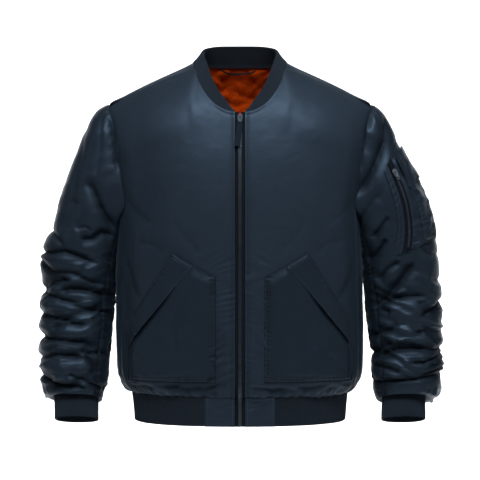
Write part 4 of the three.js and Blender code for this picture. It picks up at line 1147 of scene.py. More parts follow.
ribbing, given = node_group("knit_ribs", Pitch=("Float", 0.0024), Height=("Float", 0.0004))
place = ribbing.node("InputNamedAttribute", {"data_type": "FLOAT"}, Name="across")
turn = ribbing.node("ShaderNodeMath", {"operation": "DIVIDE"})
ribbing.tree.links.new(place.socket, turn.socket.node.inputs[0])
ribbing.tree.links.new(given["Pitch"].socket, turn.socket.node.inputs[1])
wave = ribbing.node("ShaderNodeMath", {"operation": "COSINE"})
ribbing.tree.links.new((turn * (2 * math.pi)).socket, wave.socket.node.inputs[0])
normal = ribbing.node("InputNormal")
height = wave * given["Height"]
push = ribbing.node("ShaderNodeVectorMath", {"operation": "SCALE"}, Vector=normal, Scale=height)
moved = ribbing.node("SetPosition", Geometry=given["Geometry"], Offset=push)
whole = ribbing.node("RealizeInstances", Geometry=moved)
close_group(ribbing, ribbing.node("SetMaterial", Geometry=whole, Material=KNIT))
print("ribbing tree:", len(ribbing.tree.nodes), "nodes")


# %% Rib strips with a rounded fold
RIB_PITCH = 2.5
RIB_SAMPLES = 4


def strip_rows(length, step, fold_low, fold_high, thick):
    """Distances along a strip, closer at its folds, and the wall's thickness at each."""
    close = np.array([0, 0.06, 0.2, 0.42, 0.72, 1]) * thick / 2
    inner = np.linspace(0, length, int(length / step) + 1)
    inner = inner[(inner > close[-1] + 0.5) & (inner < length - close[-1] - 0.5)]
    low = close if fold_low else close[:1]
    high = length - close[::-1] if fold_high else np.array([length])
    rows = np.concatenate([low, inner, high])
    depth = np.full(len(rows), float(thick))
    for folded, gap in ((fold_low, rows), (fold_high, length - rows)):
        if folded:
            share = 1 - np.clip(gap / (thick / 2), 0, 1)
            depth = np.minimum(depth, thick * np.maximum(0.12, np.sqrt(1 - share**2)))
    return rows, depth


def knit(name, grid, wall, loop, pitch, flat, node):
    """A rib piece from a grid that has a few columns a rib; wall holds a thickness for each row."""
    full = float(np.max(wall))
    base = raised(grid, -(full - wall[:, None]) / 2, loop)
    piece = grown(cloth(name + "_wall", base, wall[:, None], KNIT, loop=loop), ribbing, name,
                  Pitch=pitch * MM, Height=0.00034)
    declare_cloth(piece, flat, [node])
    print(name, len(piece.data.polygons), "faces, ribs", round(pitch, 2), "mm apart")
    return piece


def rib_count(length):
    """A whole number of ribs over a length, and the pitch that gives."""
    ribs = int(round(length / RIB_PITCH))
    return ribs, length / ribs


# %% Cuffs
CUFF_LONG, RIB_WALL = 47.0, 3.0
RING_POINTS = 721
for arm, seed in (("left", 71), ("right", 83)):
    rows, wall = strip_rows(CUFF_LONG, 5, False, True, RIB_WALL)
    ring = cuff_point(np.zeros(RING_POINTS), np.linspace(360, 0, RING_POINTS))
    ribs, pitch = rib_count(distances(ring[None], 1)[-1])
    count = ribs * RIB_SAMPLES
    spread = distances(ring[None], 1)
    angles = np.interp(np.arange(count) / count * spread[-1], spread, np.linspace(360, 0, RING_POINTS))
    share, around = np.meshgrid(rows / CUFF_LONG, angles, indexing="ij")
    flat = cuff_point(share, around)
    waves = 1.1 * np.sin(np.pi * share) * value_noise(around, share * 20, 36, 30, seed)
    waves += 0.7 * smooth(share) * np.cos(np.radians(2 * around + seed))
    grid = flat + (flat - flat.mean(1, keepdims=True)) * (waves / 36)[..., None]
    if arm == "right":
        flat, grid = mirrored(flat), mirrored(grid)
    knit(f"cuff_{arm}_knit", grid, wall, True, pitch, flat, f"cuff_{arm}")

# %% Hem rib
HEM_TOP = {"z": -598.4, "wide": 199, "front": 123, "back": 117}
HEM_BOTTOM = {"z": -650, "wide": 194, "front": 119, "back": 113}
HEM_LONG, TAB_X = 51.6, 62


def hem_point(share, angle):
    """share runs from 0 at the shell to 1 at the lower edge."""
    at = {key: mix(HEM_TOP[key], HEM_BOTTOM[key], share) for key in HEM_TOP}
    turn = np.radians(angle)
    depth = np.where(np.cos(turn) > 0, at["front"], at["back"])
    x = at["wide"] * signed_power(np.sin(turn), 0.8)
    return np.stack([x, -depth * signed_power(np.cos(turn), 0.8), at["z"] + 0 * x], -1)


def hem_in_front(share, x):
    wide, depth, z = (mix(HEM_TOP[key], HEM_BOTTOM[key], share) for key in ("wide", "front", "z"))
    return np.stack([x, -depth * round_off(np.abs(x) / wide, 2.5), z + 0 * x], -1)


rows, wall = strip_rows(HEM_LONG, 5, True, False, RIB_WALL)
start = math.degrees(math.asin((TAB_X / HEM_TOP["wide"]) ** 1.25))
dense = np.linspace(start, 360 - start, 2881)
spread = distances(hem_point(0.5 + 0 * dense, dense)[None], 1)
ribs, pitch = rib_count(spread[-1])
angles = np.interp(np.linspace(0, spread[-1], ribs * RIB_SAMPLES + 1), spread, dense)
share, around = np.meshgrid(1 - rows / HEM_LONG, angles, indexing="ij")
flat = hem_point(share, around)
waves = 1.6 * value_noise(around, share * 30, 16, 40, 91) * np.sin(np.pi * np.clip(share, 0.15, 1))
waves += 0.9 * smooth(1 - share * 3) * value_noise(around, 0 * around, 4, 1, 92)
knit("hem_knit", raised(flat, waves), wall, False, pitch, flat, "hem_rib")

# %% Collar
COLLAR_HIGH, COLLAR_WALL = 36.0, 4.2
COLLAR = {
    "angle": [6, 16, 33, 53, 72, 90, 122, 152, 180],
    "inward": [7, 9, 14, 19, 19, 18, 13, 8, 6],
    "up": [5, 20, 29, 32, 26, 23, 30, 35, 36],
}


def collar_point(share, angle):
    base = neck_point(angle)
    inward = base * [1, 1, 0]
    inward /= np.linalg.norm(inward, axis=-1, keepdims=True)
    rise = curve(COLLAR["angle"], COLLAR["up"], angle)
    lean = curve(COLLAR["angle"], COLLAR["inward"], angle)
    point = base - inward * (lean * np.clip(share, 0, 1) ** 0.8 + 0.6)[..., None]
    point[..., 2] += 1.0 + (rise - 1.0) * share
    return point


dense = np.linspace(4.6, 180, 1441)
spread = distances(collar_point(0.5 + 0 * dense, dense)[None], 1)
ribs, pitch = rib_count(2 * spread[-1])
half_columns = np.linspace(0, spread[-1], ribs * RIB_SAMPLES // 2 + 1)
half_angles = np.interp(half_columns, spread, dense)
rows, wall = strip_rows(COLLAR_HIGH, 4, False, True, COLLAR_WALL)
share, around = np.meshgrid(rows / COLLAR_HIGH * 1.2 - 0.2, half_angles, indexing="ij")
half = collar_point(share, around)
waves = 1.2 * np.sin(np.pi * share) * value_noise(around, share * 20, 18, 40, 95)
left, right = half, (half * [-1, 1, 1])[:, ::-1][:, 1:]
flat = np.concatenate([left, right], 1)
waves = np.concatenate([waves, 0.8 * waves[:, ::-1][:, 1:]], 1)
collar = knit("collar_knit", raised(flat, waves), wall, False, pitch, flat, "collar_rib")
# Faces that look into the collar take the darker knit: painted shade.
collar.data.materials.append(KNIT_SHADED)
for face in collar.data.polygons:
    x, y, _ = face.center
    if x * face.normal.x + y * face.normal.y < 0 and face.normal.z < 0.6:
        face.material_index = 1

# %% [markdown]
# ## Hem tabs and hand pockets
# Two tabs of shell satin close the hem beside the zip. Each hand pocket is a patch that lies on the
# front, sewn down on its zip side and its lower edge with two rows of stitches, and a welt flap that
# runs down its slanted opening. The opening shows as a dark line that widens towards its lower end: a
# dip in the cloth, with painted shade in it.

# %% Hem tabs
TAB_FOLDS = {
    "left": [(2.6, 5, [(12, -620), (30, -614), (58, -602)]), (1.8, 5, [(16, -604), (36, -606), (56, -612)]),
             (1.6, 6, [(14, -642), (34, -634), (54, -632)])],
    "right": [(2.4, 5, [(12, -604), (30, -612), (56, -618)]), (2.2, 5, [(14, -628), (34, -622), (50, -612)]),
              (1.4, 6, [(16, -646), (36, -640), (58, -640)])],
}
tab_grids = {}
for side, seed in (("left", 101), ("right", 107)):
    share, x = np.meshgrid(np.linspace(1, 0, 35), np.linspace(FRONT_EDGE_X, TAB_X - 0.4, 33), indexing="ij")
    flat = hem_in_front(share, x)
    relief = 0.6 + creased(flat[..., 0], flat[..., 2], TAB_FOLDS[side])
    relief += 0.7 * value_noise(x, flat[..., 2], 14, 8, seed)
    edge = np.minimum(np.minimum(x - FRONT_EDGE_X, TAB_X - x), np.minimum(share, 1 - share) * 52)
    relief = relief * smooth(edge / 4) + 0.8 * np.exp(-(((edge - 1.5) / 1.5) ** 2))
    relief += 0.7 * seam_pucker(flat[..., 2], x - FRONT_EDGE_X - 5, 7, 6, seed + 1)
    if side == "right":
        flat, relief = mirrored(flat), relief[:, ::-1]
    grid = raised(flat, relief)
    piece = cloth(f"hem_tab_{side}_cloth", grid, 2.0, NAVY)
    declare_cloth(piece, flat, [f"hem_tab_{side}"])
    tab_grids[side] = grid
print("hem tabs done")

# %% Hand pockets
POCKET = {"front_x": 42, "side_x": 199, "bottom_z": -572, "front_top_z": -387,
          "slit_top": (82, -366), "slit_end": (194, -506)}


def on_front(x, z, lift=0.0):
    """Points on the smooth front; the lift is along the cloth's own normal."""
    y = body_y(x, z, -1)
    slope_x, slope_z = body_y(x + 1, z, -1) - y, body_y(x, z + 1, -1) - y
    normal = np.stack([slope_x, -1 + 0 * y, slope_z], -1)
    normal /= np.linalg.norm(normal, axis=-1, keepdims=True)
    return np.stack([x, y, z], -1) + normal * np.asarray(lift)[..., None]


def slit_z(x):
    top, end = POCKET["slit_top"], POCKET["slit_end"]
    before = mix(POCKET["front_top_z"], top[1], (x - POCKET["front_x"]) / (top[0] - POCKET["front_x"]))
    return np.where(x < top[0], before, mix(top[1], end[1], (x - top[0]) / (end[0] - top[0])))


POCKET_FOLDS = {
    "left": [
        (2.4, 13, [(96, -430), (120, -480), (136, -520)]),
        (2.2, 11, [(150, -520), (176, -545), (196, -566)]),
        (1.8, 9, [(60, -556), (96, -562), (140, -558)]),
        (1.6, 10, [(64, -470), (82, -510), (84, -540)]),
    ],
    "right": [
        (2.6, 13, [(104, -420), (120, -470), (110, -530)]),
        (2.2, 11, [(190, -530), (170, -552), (150, -566)]),
        (1.8, 9, [(56, -560), (90, -556), (128, -562)]),
        (2.0, 12, [(60, -440), (86, -480), (120, -500)]),
    ],
}
slit_x = POCKET["slit_top"][0]
pocket_grids = {}
for side, seed in (("left", 113), ("right", 127)):
    x = np.repeat(np.linspace(POCKET["front_x"], POCKET["side_x"], 64)[None], 76, 0)
    climb = np.linspace(0, 1, 76)[:, None]
    z = mix(POCKET["bottom_z"], slit_z(x) - 0.4, climb)
    sewn = np.minimum(x - POCKET["front_x"], z - POCKET["bottom_z"])
    sewn = np.minimum(sewn, POCKET["side_x"] - x)
    top = np.minimum((slit_z(x) - z) * 0.62, 40)
    top_sewn = np.where(x < slit_x, top, 40)
    inside = smooth(np.minimum(sewn, top_sewn) / 14)
    relief = 3.4 * inside + 1.7 * inside * value_noise(x, z, 42, 60, seed)
    relief += creased(x, z, POCKET_FOLDS[side]) * inside
    ripple = 1.7 * seam_pucker(z, x - 48, 7, 8, seed + 1) + 0.9 * seam_pucker(x, z + 566, 8, 7, seed + 2)
    relief += ripple
    relief += 0.16 * value_noise(x, z, 6, 6, seed + 3)
    mouth = smooth((x - 84) / 60) * np.exp(-((top / 7) ** 2))
    relief -= 2.2 * mouth
    relief -= 0.7 * np.exp(-(((sewn - 3) / 1.3) ** 2)) + 0.5 * np.exp(-(((sewn - 8) / 1.3) ** 2))
    flat, grid = on_front(x, z, 2.0 + 0 * x), on_front(x, z, 1.7 + np.maximum(relief, -1.2))
    # Painted shade along the sewn edges and the inner row of stitches, in the pucker valleys, at the pocket's
    # mouth and under its upper edge.
    fold = 0.9 * np.exp(-((sewn / 2.6) ** 2)) + 0.8 * np.clip(-ripple, 0, 1.2)
    fold += 0.45 * np.exp(-(((sewn - 8) / 2) ** 2))
    fold += 0.6 * mouth + 0.8 * np.where(x < slit_x, np.exp(-((top / 2.2) ** 2)), 0)
    if side == "right":
        flat, grid, fold = mirrored(flat), mirrored(grid), fold[:, ::-1]
    piece = cloth(f"pocket_{side}_cloth", grid, 0.9, PATCH_SHADED, fold=fold)
    declare_cloth(piece, flat, [f"pocket_{side}"])
    pocket_grids[side] = grid
print("pockets done")

# %% Welt flaps
FLAP = {"top_cut": (37, 21), "end_cut": (-3, 48), "long": 180, "wide": 43}
long, wide = FLAP["long"], FLAP["wide"]
flap_grids = {}
for side, seed in (("left", 131), ("right", 137)):
    across, share = np.meshgrid(np.linspace(0, 1, 22), np.linspace(0, 1, 78), indexing="ij")
    out_x = mix(FLAP["top_cut"][0], FLAP["end_cut"][0], share) * across
    out_z = mix(FLAP["top_cut"][1], FLAP["end_cut"][1], share) * across
    x = mix(POCKET["slit_top"][0], POCKET["slit_end"][0], share) + out_x
    z = mix(POCKET["slit_top"][1], POCKET["slit_end"][1], share) + out_z
    rim = np.minimum(np.minimum(share, 1 - share) * long, np.minimum(across, 1 - across) * wide)
    sewn = np.minimum(np.minimum(share, 1 - share) * long, (1 - across) * wide)
    body = smooth(sewn / 9)
    gape = np.sin(np.pi * np.clip(share * 1.08 - 0.08, 0, 1) ** 1.7) * (1 - across) ** 1.5
    puffed = 1.1 + 1.9 * body + 3.6 * gape
    relief = puffed + 0.8 * body * value_noise(share * long, across * wide, 34, 26, seed)
    relief += 0.55 * seam_pucker(share * long, (1 - across) * wide - 7, 9, 7, seed + 1)
    relief -= 0.6 * np.exp(-(((sewn - 7) / 1.4) ** 2)) + 0.4 * np.exp(-(((rim - 2) / 1.0) ** 2))
    relief += 0.12 * value_noise(share * long, across * wide, 6, 5, seed + 2)
    flat, grid = on_front(x, z, 2.6 + 0 * x), on_front(x, z, 1.9 + relief)
    # Painted shade along the sewn edges and along the row of stitches inside them.
    fold = 0.9 * np.exp(-((sewn / 2.4) ** 2)) + 0.7 * np.exp(-(((sewn - 7) / 1.8) ** 2))
    if side == "right":
        flat, grid, fold = mirrored(flat), mirrored(grid), fold[:, ::-1]
    piece = cloth(f"pocket_flap_{side}_cloth", grid, 1.1, PATCH_SHADED, fold=fold)
    declare_cloth(piece, flat, [f"pocket_flap_{side}"])
    flap_grids[side] = grid
print("flaps done")

# %% [markdown]
# ## The arm pocket
# A bomber's arm pocket lies on the outer front of the left sleeve. A slanted zip runs between a narrow
# front panel and a broad back panel, and a pen pocket with a flap is sewn over the back panel. All of
# it is satin over padding, so it crumples between its rows of stitches.

# %% Places beside the arm zip
ARM_ZIP_TOP, ARM_ZIP_END = (2.9, 117), (6.55, 97)
ARM_ZIP_LIFT = 3.1


def on_sleeve(station, around, lift=0.0):
    at = sleeve_point(station, around)
    along = sleeve_point(station + 0.1, around) - at
    normal = np.cross(along, sleeve_point(station, around + 1) - at)
    normal /= np.linalg.norm(normal, axis=-1, keepdims=True)
    return at + normal * np.asarray(lift)[..., None]


def beside_zip(share, side, lift=0.0):
    """A share of the way down the arm zip, and millimetres towards its outer side."""
    station = mix(ARM_ZIP_TOP[0], ARM_ZIP_END[0], share)
    around = mix(ARM_ZIP_TOP[1], ARM_ZIP_END[1], share)
    reach = np.linalg.norm(sleeve_point(station, around + 10) - sleeve_point(station, around), axis=-1)
    return on_sleeve(station, around + 10 * side / reach, lift)


def arm_rows(front_top, front_low, back_edge, start, end, rows, columns):
    """Grids of share and side, climbing from the lower end of the pocket to its upper end."""
    share = np.repeat(np.linspace(end, start, rows)[:, None], columns, 1)
    return share, mix(mix(front_top, front_low, share), back_edge, np.linspace(0, 1, columns)[None])


# %% Arm pocket panels
ARM_LENGTH = 148
# Where the panels start and end, as shares of the zip's length.
ARM_START, ARM_END = -0.08, 1.09
UNDER_PANELS = "sleeve_left_upper_cloth"
arm_grids = {}


def arm_piece(name, node, share, side, lift, relief, wall):
    flat, grid = beside_zip(share, side, lift + 0 * share), beside_zip(share, side, lift + relief)
    piece = cloth(name, grid, wall, PATCH_SHADED)
    declare_cloth(piece, flat, [node])
    arm_grids[node] = grid
    print(name, len(piece.data.polygons), "faces")


def crumple(share, side, sewn, seed, deep=1.0):
    """Crumpled satin between rows of stitches; sewn is the distance to the nearest row."""
    down = share * ARM_LENGTH
    free = smooth(sewn / 9)
    folds = 1 - 2 * np.abs(value_noise(side + 0.6 * down, down - 0.4 * side, 26, 17, seed))
    relief = deep * free * (1.3 * folds + 0.9 * value_noise(side, down, 12, 10, seed + 1))
    return relief + 0.22 * value_noise(side, down, 5, 5, seed + 2)


share, side = arm_rows(-20, -20, -7.6, ARM_START, ARM_END, 74, 9)
relief = 0.9 * seam_pucker(share * ARM_LENGTH, side + 16, 8, 5, 141)
relief = relief - 0.6 * np.exp(-(((side + 17) / 1.2) ** 2))
relief += 0.9 * np.exp(-(((side + 9) / 1.6) ** 2))
arm_piece("arm_pocket_front_cloth", "sleeve_pocket_front", share, side, 2.0, relief, 1.0)

share, side = arm_rows(7.6, 7.6, 84, ARM_START, ARM_END, 76, 42)
ends = np.minimum((share - ARM_START) * ARM_LENGTH, (ARM_END - share) * ARM_LENGTH)
corner = np.hypot(np.maximum(side - 66, 0), np.maximum((share - 0.97) * ARM_LENGTH, 0))
sewn = np.minimum(np.minimum(ends, 84 - side), side - 5)
relief = crumple(share, side, sewn, 149) + 1.0 * smooth(sewn / 10)
relief += 0.9 * seam_pucker(share * ARM_LENGTH, side - 12, 7, 5, 151)
relief += 0.9 * seam_pucker(side, (ARM_END - share) * ARM_LENGTH - 5, 8, 6, 153)
relief -= 0.7 * np.exp(-(((sewn - 4) / 1.3) ** 2))
share = share - 0.0006 * np.maximum(corner - 12, 0) ** 2 * (share > 0.97)
arm_piece("arm_pocket_back_cloth", "sleeve_pocket_back", share, side, 2.0, relief, 1.0)

share, side = arm_rows(18, 32, 82, -0.04, 1.05, 74, 32)
front_edge = mix(18, 32, share)
sewn = np.minimum(np.minimum(side - front_edge, 82 - side), (1.05 - share) * ARM_LENGTH)
relief = crumple(share, side, sewn, 157, 1.3) + 1.6 * smooth(sewn / 12)
relief += 0.8 * seam_pucker(share * ARM_LENGTH, side - front_edge - 4, 7, 5, 159)
relief -= 0.6 * np.exp(-(((sewn - 4) / 1.3) ** 2)) + 0.5 * np.exp(-(((side - mix(50, 57, share)) / 1.4) ** 2))
arm_piece("pen_pocket_cloth", "sleeve_pen_pocket", share, side, 3.6, relief, 1.0)

share, side = arm_rows(17, 17 + 14 * 0.24, 83, -0.04, 0.2, 26, 33)
hang = (0.2 - share) * ARM_LENGTH
relief = crumple(share, side, np.minimum(hang + 6, 20), 163, 1.4) + 1.4 * np.exp(-hang / 5)
relief += 2.2 * np.exp(-((hang / 9) ** 2)) * value_noise(side, 0 * side, 15, 1, 165)
relief -= 0.5 * np.exp(-(((hang - 4) / 1.3) ** 2))
arm_piece("pen_flap_cloth", "sleeve_pen_flap", share, side, 5.6, relief, 1.1)

# %% [markdown]
# ## Zips
# A closed zip is two tapes with teeth along their inner edges. The tape is cloth; the teeth are one
# tooth, repeated along a path by a Geometry Nodes tree. The right row runs up and the left row down,
# half a step apart, so the same tooth serves both and the rows mesh.

# %% Zip tapes
front_line = np.concatenate([hem_in_front(np.array([1.0, 0.5]), np.full(2, 9.0)), front_lattice_left[:, 0]])
line_gaps = np.linalg.norm(np.diff(front_line, axis=0), axis=-1)
front_length = float(line_gaps.sum())
line_keys = np.concatenate([[0], np.cumsum(line_gaps)])


def zip_line(distance):
    """Points on the zip's middle line at distances up from the hem."""
    return curve(line_keys, front_line, distance) * [0, 1, 1]


def tape(name, node, grid, flat, rests_on):
    piece = cloth(name, grid, 0.9, TAPE)
    declare_cloth(piece, flat, [node])


for side, seed in (("left", 171), ("right", 173)):
    up, x = np.meshgrid(np.linspace(0, front_length, 240), np.linspace(0.03, 12.6, 13), indexing="ij")
    flat = zip_line(up) + np.stack([x, 0.9 + 1.1 * smooth((x - 7) / 2), 0 * x], -1)
    wave = 0.3 * value_noise(up, x, 22, 9, seed) * smooth((9 - x) / 3)
    part = smooth((up - front_length + 16) / 16)
    flat[..., 0] += 2.2 * part * smooth((9.6 - x) / 7)
    if side == "right":
        flat, wave = mirrored(flat), wave[:, ::-1]
    tape(f"zip_tape_{side}_cloth", f"zip_tape_{side}", raised(flat, wave), flat, f"front_{side}_cloth")
for part, low, high in (("front", -12.3, -0.03), ("back", 0.03, 12.3)):
    share, side = arm_rows(low, low, high, ARM_START, ARM_END, 74, 10)
    wave = 0.2 * value_noise(share * ARM_LENGTH, side, 16, 9, 177)
    grid = beside_zip(share, side, ARM_ZIP_LIFT + wave - 2.1 * smooth((np.abs(side) - 2.5) / 4.5))
    tape(f"arm_zip_tape_{part}_cloth", f"sleeve_zip_tape_{part}", grid, grid, UNDER_PANELS)
print("tapes done, front zip", round(front_length), "mm long")

# %% The tree that sets pieces along a path
def path_object(name, paths):
    """Open paths as edges; each path is (points, normals) in millimetres."""
    points = np.concatenate([item[0] for item in paths]) * MM
    edges, base = [], 0
    for item in paths:
        count = len(item[0])
        edges += [(base + i, base + i + 1) for i in range(count - 1)]
        base += count
    mesh = bpy.data.meshes.new(name)
    mesh.from_pydata(points.tolist(), edges, [])
    normals = np.concatenate([item[1] for item in paths])
    mesh.attributes.new("out", "FLOAT_VECTOR", "POINT").data.foreach_set("vector", normals.ravel())
    piece = bpy.data.objects.new(name, mesh)
    bpy.context.collection.objects.link(piece)
    return piece


def along_path(graph, given, instance, material, jitter=0.0, seed=0):
    """Adds the nodes that set one piece at every step of each path, its Z out of the cloth."""
    line = graph.node("MeshToCurve", Mesh=given["Geometry"])
    steps = graph.node("ResampleCurve", {"mode": "LENGTH"}, Curve=line, Length=given["Pitch"])
    ahead = graph.node("InputTangent")
    out = graph.node("InputNamedAttribute", {"data_type": "FLOAT_VECTOR"}, Name="out")
    first = graph.node("FunctionNodeAlignRotationToVector", {"axis": "X"}, Vector=ahead)
    facing = {"axis": "Z", "pivot_axis": "X"}
    turn = graph.node("FunctionNodeAlignRotationToVector", facing, Rotation=first, Vector=out)
    inputs = {"Points": steps, "Instance": instance, "Rotation": turn}
    if jitter:
        amount = graph.node("FunctionNodeRandomValue", {"data_type": "FLOAT_VECTOR"}, Seed=seed,
                            Min=(1 - jitter,) * 3, Max=(1 + jitter,) * 3)
        inputs["Scale"] = amount
    set_out = graph.node("InstanceOnPoints", **inputs)
    whole = graph.node("RealizeInstances", Geometry=set_out)
    close_group(graph, graph.node("SetMaterial", Geometry=whole, Material=material))


# %% Zip teeth
def vector_of(graph, x, y, z):
    return graph.node("ShaderNodeCombineXYZ", X=x, Y=y, Z=z)


teeth, given = node_group("zip_teeth", Pitch=("Float", 0.003), Reach=("Float", 0.0024),
                          Height=("Float", 0.0012))
head = teeth.node("MeshCylinder", Vertices=8, Radius=0.00085, Depth=0.0021)
leg = teeth.node("MeshCube", Size=vector_of(teeth, 0.0011, given["Reach"], given["Height"]))
leg = teeth.node("Transform", Geometry=leg, Translation=vector_of(teeth, 0, given["Reach"] * -0.5, 0))
tooth = teeth.node("JoinGeometry", Geometry=head)
teeth.tree.links.new(leg.socket, tooth.socket.node.inputs[0])
along_path(teeth, given, tooth, TOOTH)


def teeth_paths(points, across, out, gap, half_step):
    """The two rows beside a middle line of points, the second one running back."""
    right = points + across * gap
    left = (points - across * gap)[::-1]
    step = left[1] - left[0]
    left = left + step / np.linalg.norm(step) * half_step
    return [(right, out), (left, out[::-1])]


up = np.linspace(2, front_length - 12, 160)
middle = zip_line(up) + [0, -0.2, 0]
out = np.tile([0.0, -1.0, 0.0], (len(up), 1))
across = np.tile([1.0, 0.0, 0.0], (len(up), 1))
front_paths = path_object("front_paths", teeth_paths(middle, across, out, 0.75, 1.5))
front_teeth = grown(front_paths, teeth, "zip_chain_teeth", Pitch=0.003, Reach=0.0026, Height=0.0013)
declare(front_teeth, "jacket", ["zip_chain"])

share = np.linspace(1.0, 0.02, 60)
middle = beside_zip(share, 0 * share, ARM_ZIP_LIFT + 0.6)
sides = beside_zip(share, 0 * share + 1, ARM_ZIP_LIFT + 0.6) - middle
sides /= np.linalg.norm(sides, axis=-1, keepdims=True)
out = np.cross(sides, np.gradient(middle, axis=0))
out /= np.linalg.norm(out, axis=-1, keepdims=True)
arm_paths = path_object("arm_paths", teeth_paths(middle, sides, out, 0.6, 1.2))
arm_teeth = grown(arm_paths, teeth, "arm_zip_teeth", Pitch=0.0024, Reach=0.002, Height=0.0011)
declare(arm_teeth, "jacket", ["sleeve_zip_chain"])
print("teeth:", len(front_teeth.data.polygons) + len(arm_teeth.data.polygons), "faces")

# %% Sliders and tabs keep their solids' shape
for node in ("front_zip_slider", "front_zip_tab", "sleeve_zip_slider", "sleeve_zip_tab"):
    metal_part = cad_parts[node]
    metal_part.data.materials.clear()
    metal_part.data.materials.append(METAL if node.startswith("sleeve") else BLACKENED)

# %% [markdown]
# ## Ribbon pull
# A folded ribbon hangs from the front slider's tab: two layers with a soft loop at the lower end. It
# lies a little to one side of the chain and rides with the tab.

# %% Ribbon pull
low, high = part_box("front_zip_ribbon")
top = np.array([0.0, high[1] / MM, high[2] / MM])
bottom = np.array([0.0, low[1] / MM, low[2] / MM])
RIBBON_WIDE, RIBBON_LEAN, RIBBON_HALF = 10.0, 5.0, 0.75
length = np.linalg.norm(bottom - top)
turn = np.linspace(-np.pi / 2, np.pi / 2, 7)[1:-1]
fall = np.concatenate([np.linspace(0, 1, 34), 1 + 0.016 * np.cos(turn), np.linspace(1, 0.02, 34)])
depth = np.concatenate([np.full(34, -1.0), np.sin(turn), np.full(34, 1.0)])
print("ribbon box", low, high)
grow = np.clip(0.35 + fall * 1.6, 0, 1)
down = (bottom - top) * [0, 1, 1]
thin = np.cross([1, 0, 0], down / np.linalg.norm(down))
rows_middle = top + fall[:, None] * down + (RIBBON_HALF * grow * depth)[:, None] * thin
wide = RIBBON_WIDE * mix(0.62, 1, smooth(fall / 0.2))
edge = np.linspace(-0.5, 0.5, 9)
grid = np.repeat(rows_middle[:, None], 9, 1)
grid[..., 0] = wide[:, None] * edge[None] - RIBBON_LEAN * fall[:, None]
grid = grid[::-1]
ribbon = cloth("ribbon_pull_cloth", grid, 0.45, RIBBON)
declare_cloth(ribbon, grid, ["front_zip_ribbon"], body="front_zip_pull")

# %% [markdown]
# ## Lining and hanger loop
# Orange satin lines the back and shows through the neck, crinkled like a parachute bag. A narrow tape
# loop is sewn under the collar to hang the jacket up.

# %% Back lining
LINING_STEP = 4.2
half_back = back_lattice()[1:17, 5:]
lattice = np.concatenate([half_back, mirrored(half_back)[:, 1:]], 1)
flat = refined(lattice, LINING_STEP, LINING_STEP)[0]
x, z = flat[..., 0], flat[..., 2]
LINING_FOLDS = [
    (5, 9, [(-70, 0), (-40, -22), (-22, -52)]), (5, 8, [(-30, 4), (-44, -20), (-36, -54)]),
    (5, 9, [(66, 2), (34, -20), (14, -46)]), (4, 8, [(20, 4), (34, -14), (56, -30)]),
    (5, 10, [(-50, -60), (-6, -70), (44, -52)]), (4, 8, [(-12, -8), (2, -28), (-10, -50)]),
    (5, 12, [(-30, -84), (10, -78), (46, -84)]),
]
near_neck = smooth((z + 180) / 90)
crinkles = 1 - 2 * np.abs(value_noise(x + z, z - 0.6 * x, 30, 22, 181))
relief = creased(x, z, LINING_FOLDS) + near_neck * 2.6 * crinkles
relief += 1.4 * value_noise(x, z, 13, 13, 183) + 0.5 * value_noise(x, z, 6, 6, 185)
edge = np.minimum(np.arange(len(z))[:, None], np.arange(len(z))[::-1, None]) * LINING_STEP
relief = np.minimum(relief - 3.0, -1.0) * smooth(edge / 14)
lining = cloth("lining_back_cloth", raised(flat, relief - 3.0), 0.7, ORANGE)
declare_cloth(lining, flat, ["lining_back"])
print("lining", len(lining.data.polygons), "faces")

# %% Hanger loop
share = np.linspace(-1, 1, 61)
sag = 2 - 8 * (1 - share**4) + 0.8 * np.sin(5 * share)
centre = np.stack([-3 + 33 * share, 71.5 - 4.0 * (1 - share**4) + 0.6 * np.sin(4 * share), sag], -1)
roll = 0.5 * np.sin(3.1 * share + 0.6)
offset = np.stack([0 * share, np.sin(roll), np.cos(roll)], -1)
grid = np.stack([centre + offset * height for height in np.linspace(-2, 2, 6)])
loop = cloth("hanger_loop_cloth", grid, 0.9, HANGER)
declare(loop, "jacket", ["hanger_loop"])

# %% [markdown]
# ## Stitches
# Rows of stitches hold the jacket together, and on satin they show as fine pale dashes in a groove.
# One tree lays a small thread stitch at every step of a path. The paths are taken from the finished
# cloth grids, so every stitch lies on its own crease.

# %% Paths on the cloth
def on_grid(grid, rows, columns):
    """Points and normals of a grid at fractional rows and columns."""
    normals = grid_normals(grid)
    rows, columns = np.clip(rows, 0, len(grid) - 1.001), np.clip(columns, 0, grid.shape[1] - 1.001)
    rows, columns = np.broadcast_arrays(rows, columns)
    r, c = rows.astype(int), columns.astype(int)
    s, t = (rows - r)[..., None], (columns - c)[..., None]
    return tuple(mix(mix(field[r, c], field[r + 1, c], s), mix(field[r, c + 1], field[r + 1, c + 1], s), t)
                 for field in (grid, normals))


def inset_path(grid, start, end):
    """A path between two corners given as shares (row, column) of the grid."""
    steps = np.linspace(0, 1, 160)
    rows = mix(start[0], end[0], steps) * (len(grid) - 1)
    columns = mix(start[1], end[1], steps) * (grid.shape[1] - 1)
    points, normals = on_grid(grid, rows, columns)
    return points + normals * 0.12, normals


def pocket_rows(grid):
    """Two rows down the zip side and along the lower edge of a hand pocket."""
    rows = []
    for inset in (0.02, 0.052):
        rows.append((grid, (inset, inset), (0.99, inset)))
        rows.append((grid, (inset * 0.8, inset), (inset * 0.8, 0.98)))
    return rows


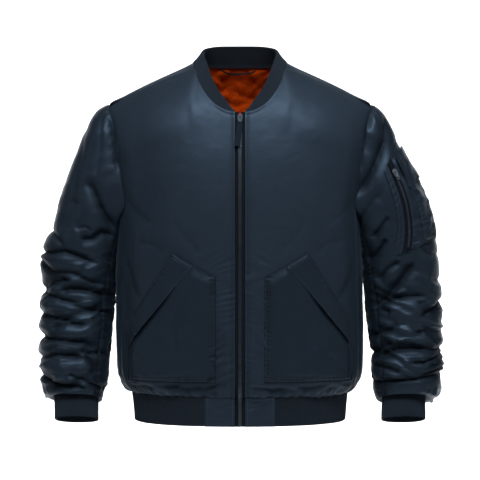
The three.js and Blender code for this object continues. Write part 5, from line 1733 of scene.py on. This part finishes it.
def front_rows(side):
    """The rows of one front, each as a grid and two corners, as on the wearer's left."""
    body, flap, tab = fronts[side], flap_grids[side], tab_grids[side]
    rows = [(body, (0.02, 0.028), (0.985, 0.028)), (body, (0.988, 0.03), (0.988, 0.985))]
    rows += pocket_rows(pocket_grids[side])
    rows.append((pocket_grids[side], (0.985, 0.03), (0.985, 0.25)))
    rows += [(flap, (1 - inset, 0.012), (1 - inset, 0.988)) for inset in (0.045, 0.2)]
    rows += [(flap, (0.02, column), (0.98, column)) for column in (0.012, 0.988)]
    rows.append((flap, (0.05, 0.02), (0.05, 0.98)))
    return rows + [(tab, (0.03, column), (0.97, column)) for column in (0.08, 0.9)]


def arm_pocket_rows():
    front_panel, back_panel = arm_grids["sleeve_pocket_front"], arm_grids["sleeve_pocket_back"]
    pen, pen_flap = arm_grids["sleeve_pen_pocket"], arm_grids["sleeve_pen_flap"]
    rows = [(front_panel, (0.01, column), (0.99, column)) for column in (0.2, 0.75)]
    for inset in (0.03, 0.07):
        rows.append((back_panel, (inset, 1 - inset), (0.99, 1 - inset)))
        rows.append((back_panel, (inset, 0.03), (inset, 0.98)))
    rows.append((back_panel, (0.02, 0.035), (0.99, 0.035)))
    rows += [(pen, (0.03, column), (0.8, column)) for column in (0.06, 0.5)]
    return rows + [(pen_flap, (0.14, 0.03), (0.14, 0.97))]


def flipped(corner):
    """The same corner on the mirrored side."""
    return corner[0], 1 - corner[1]


stitch_paths = [inset_path(*row) for row in front_rows("left")]
stitch_paths += [inset_path(grid, flipped(start), flipped(end)) for grid, start, end in front_rows("right")]
stitch_paths += [inset_path(*row) for row in arm_pocket_rows()]
print("stitch rows:", len(stitch_paths))

# %% The stitches
sewing, given = node_group("stitches", Pitch=("Float", 0.0033), Length=("Float", 0.0021),
                           Thread=("Float", 0.00055))
bead = sewing.node("MeshUVSphere", Segments=6, Rings=4, Radius=0.5)
bead = sewing.node("Transform", Geometry=bead,
                   Scale=vector_of(sewing, given["Length"], given["Thread"], given["Thread"] * 0.8))
along_path(sewing, given, bead, THREAD, jitter=0.12, seed=5)
stitches = grown(path_object("stitch_paths", stitch_paths), sewing, "topstitches", Pitch=0.0033)
declare(stitches, "jacket")
print("stitches:", len(stitches.data.polygons), "faces")

# %% Size and finish
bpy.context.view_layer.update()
print("cloth cuts in metres:", CUTS)
meshes = [item.data for item in bpy.data.objects if item.type == "MESH"]
print("triangles:", sum(len(face.vertices) - 2 for mesh in meshes for face in mesh.polygons))
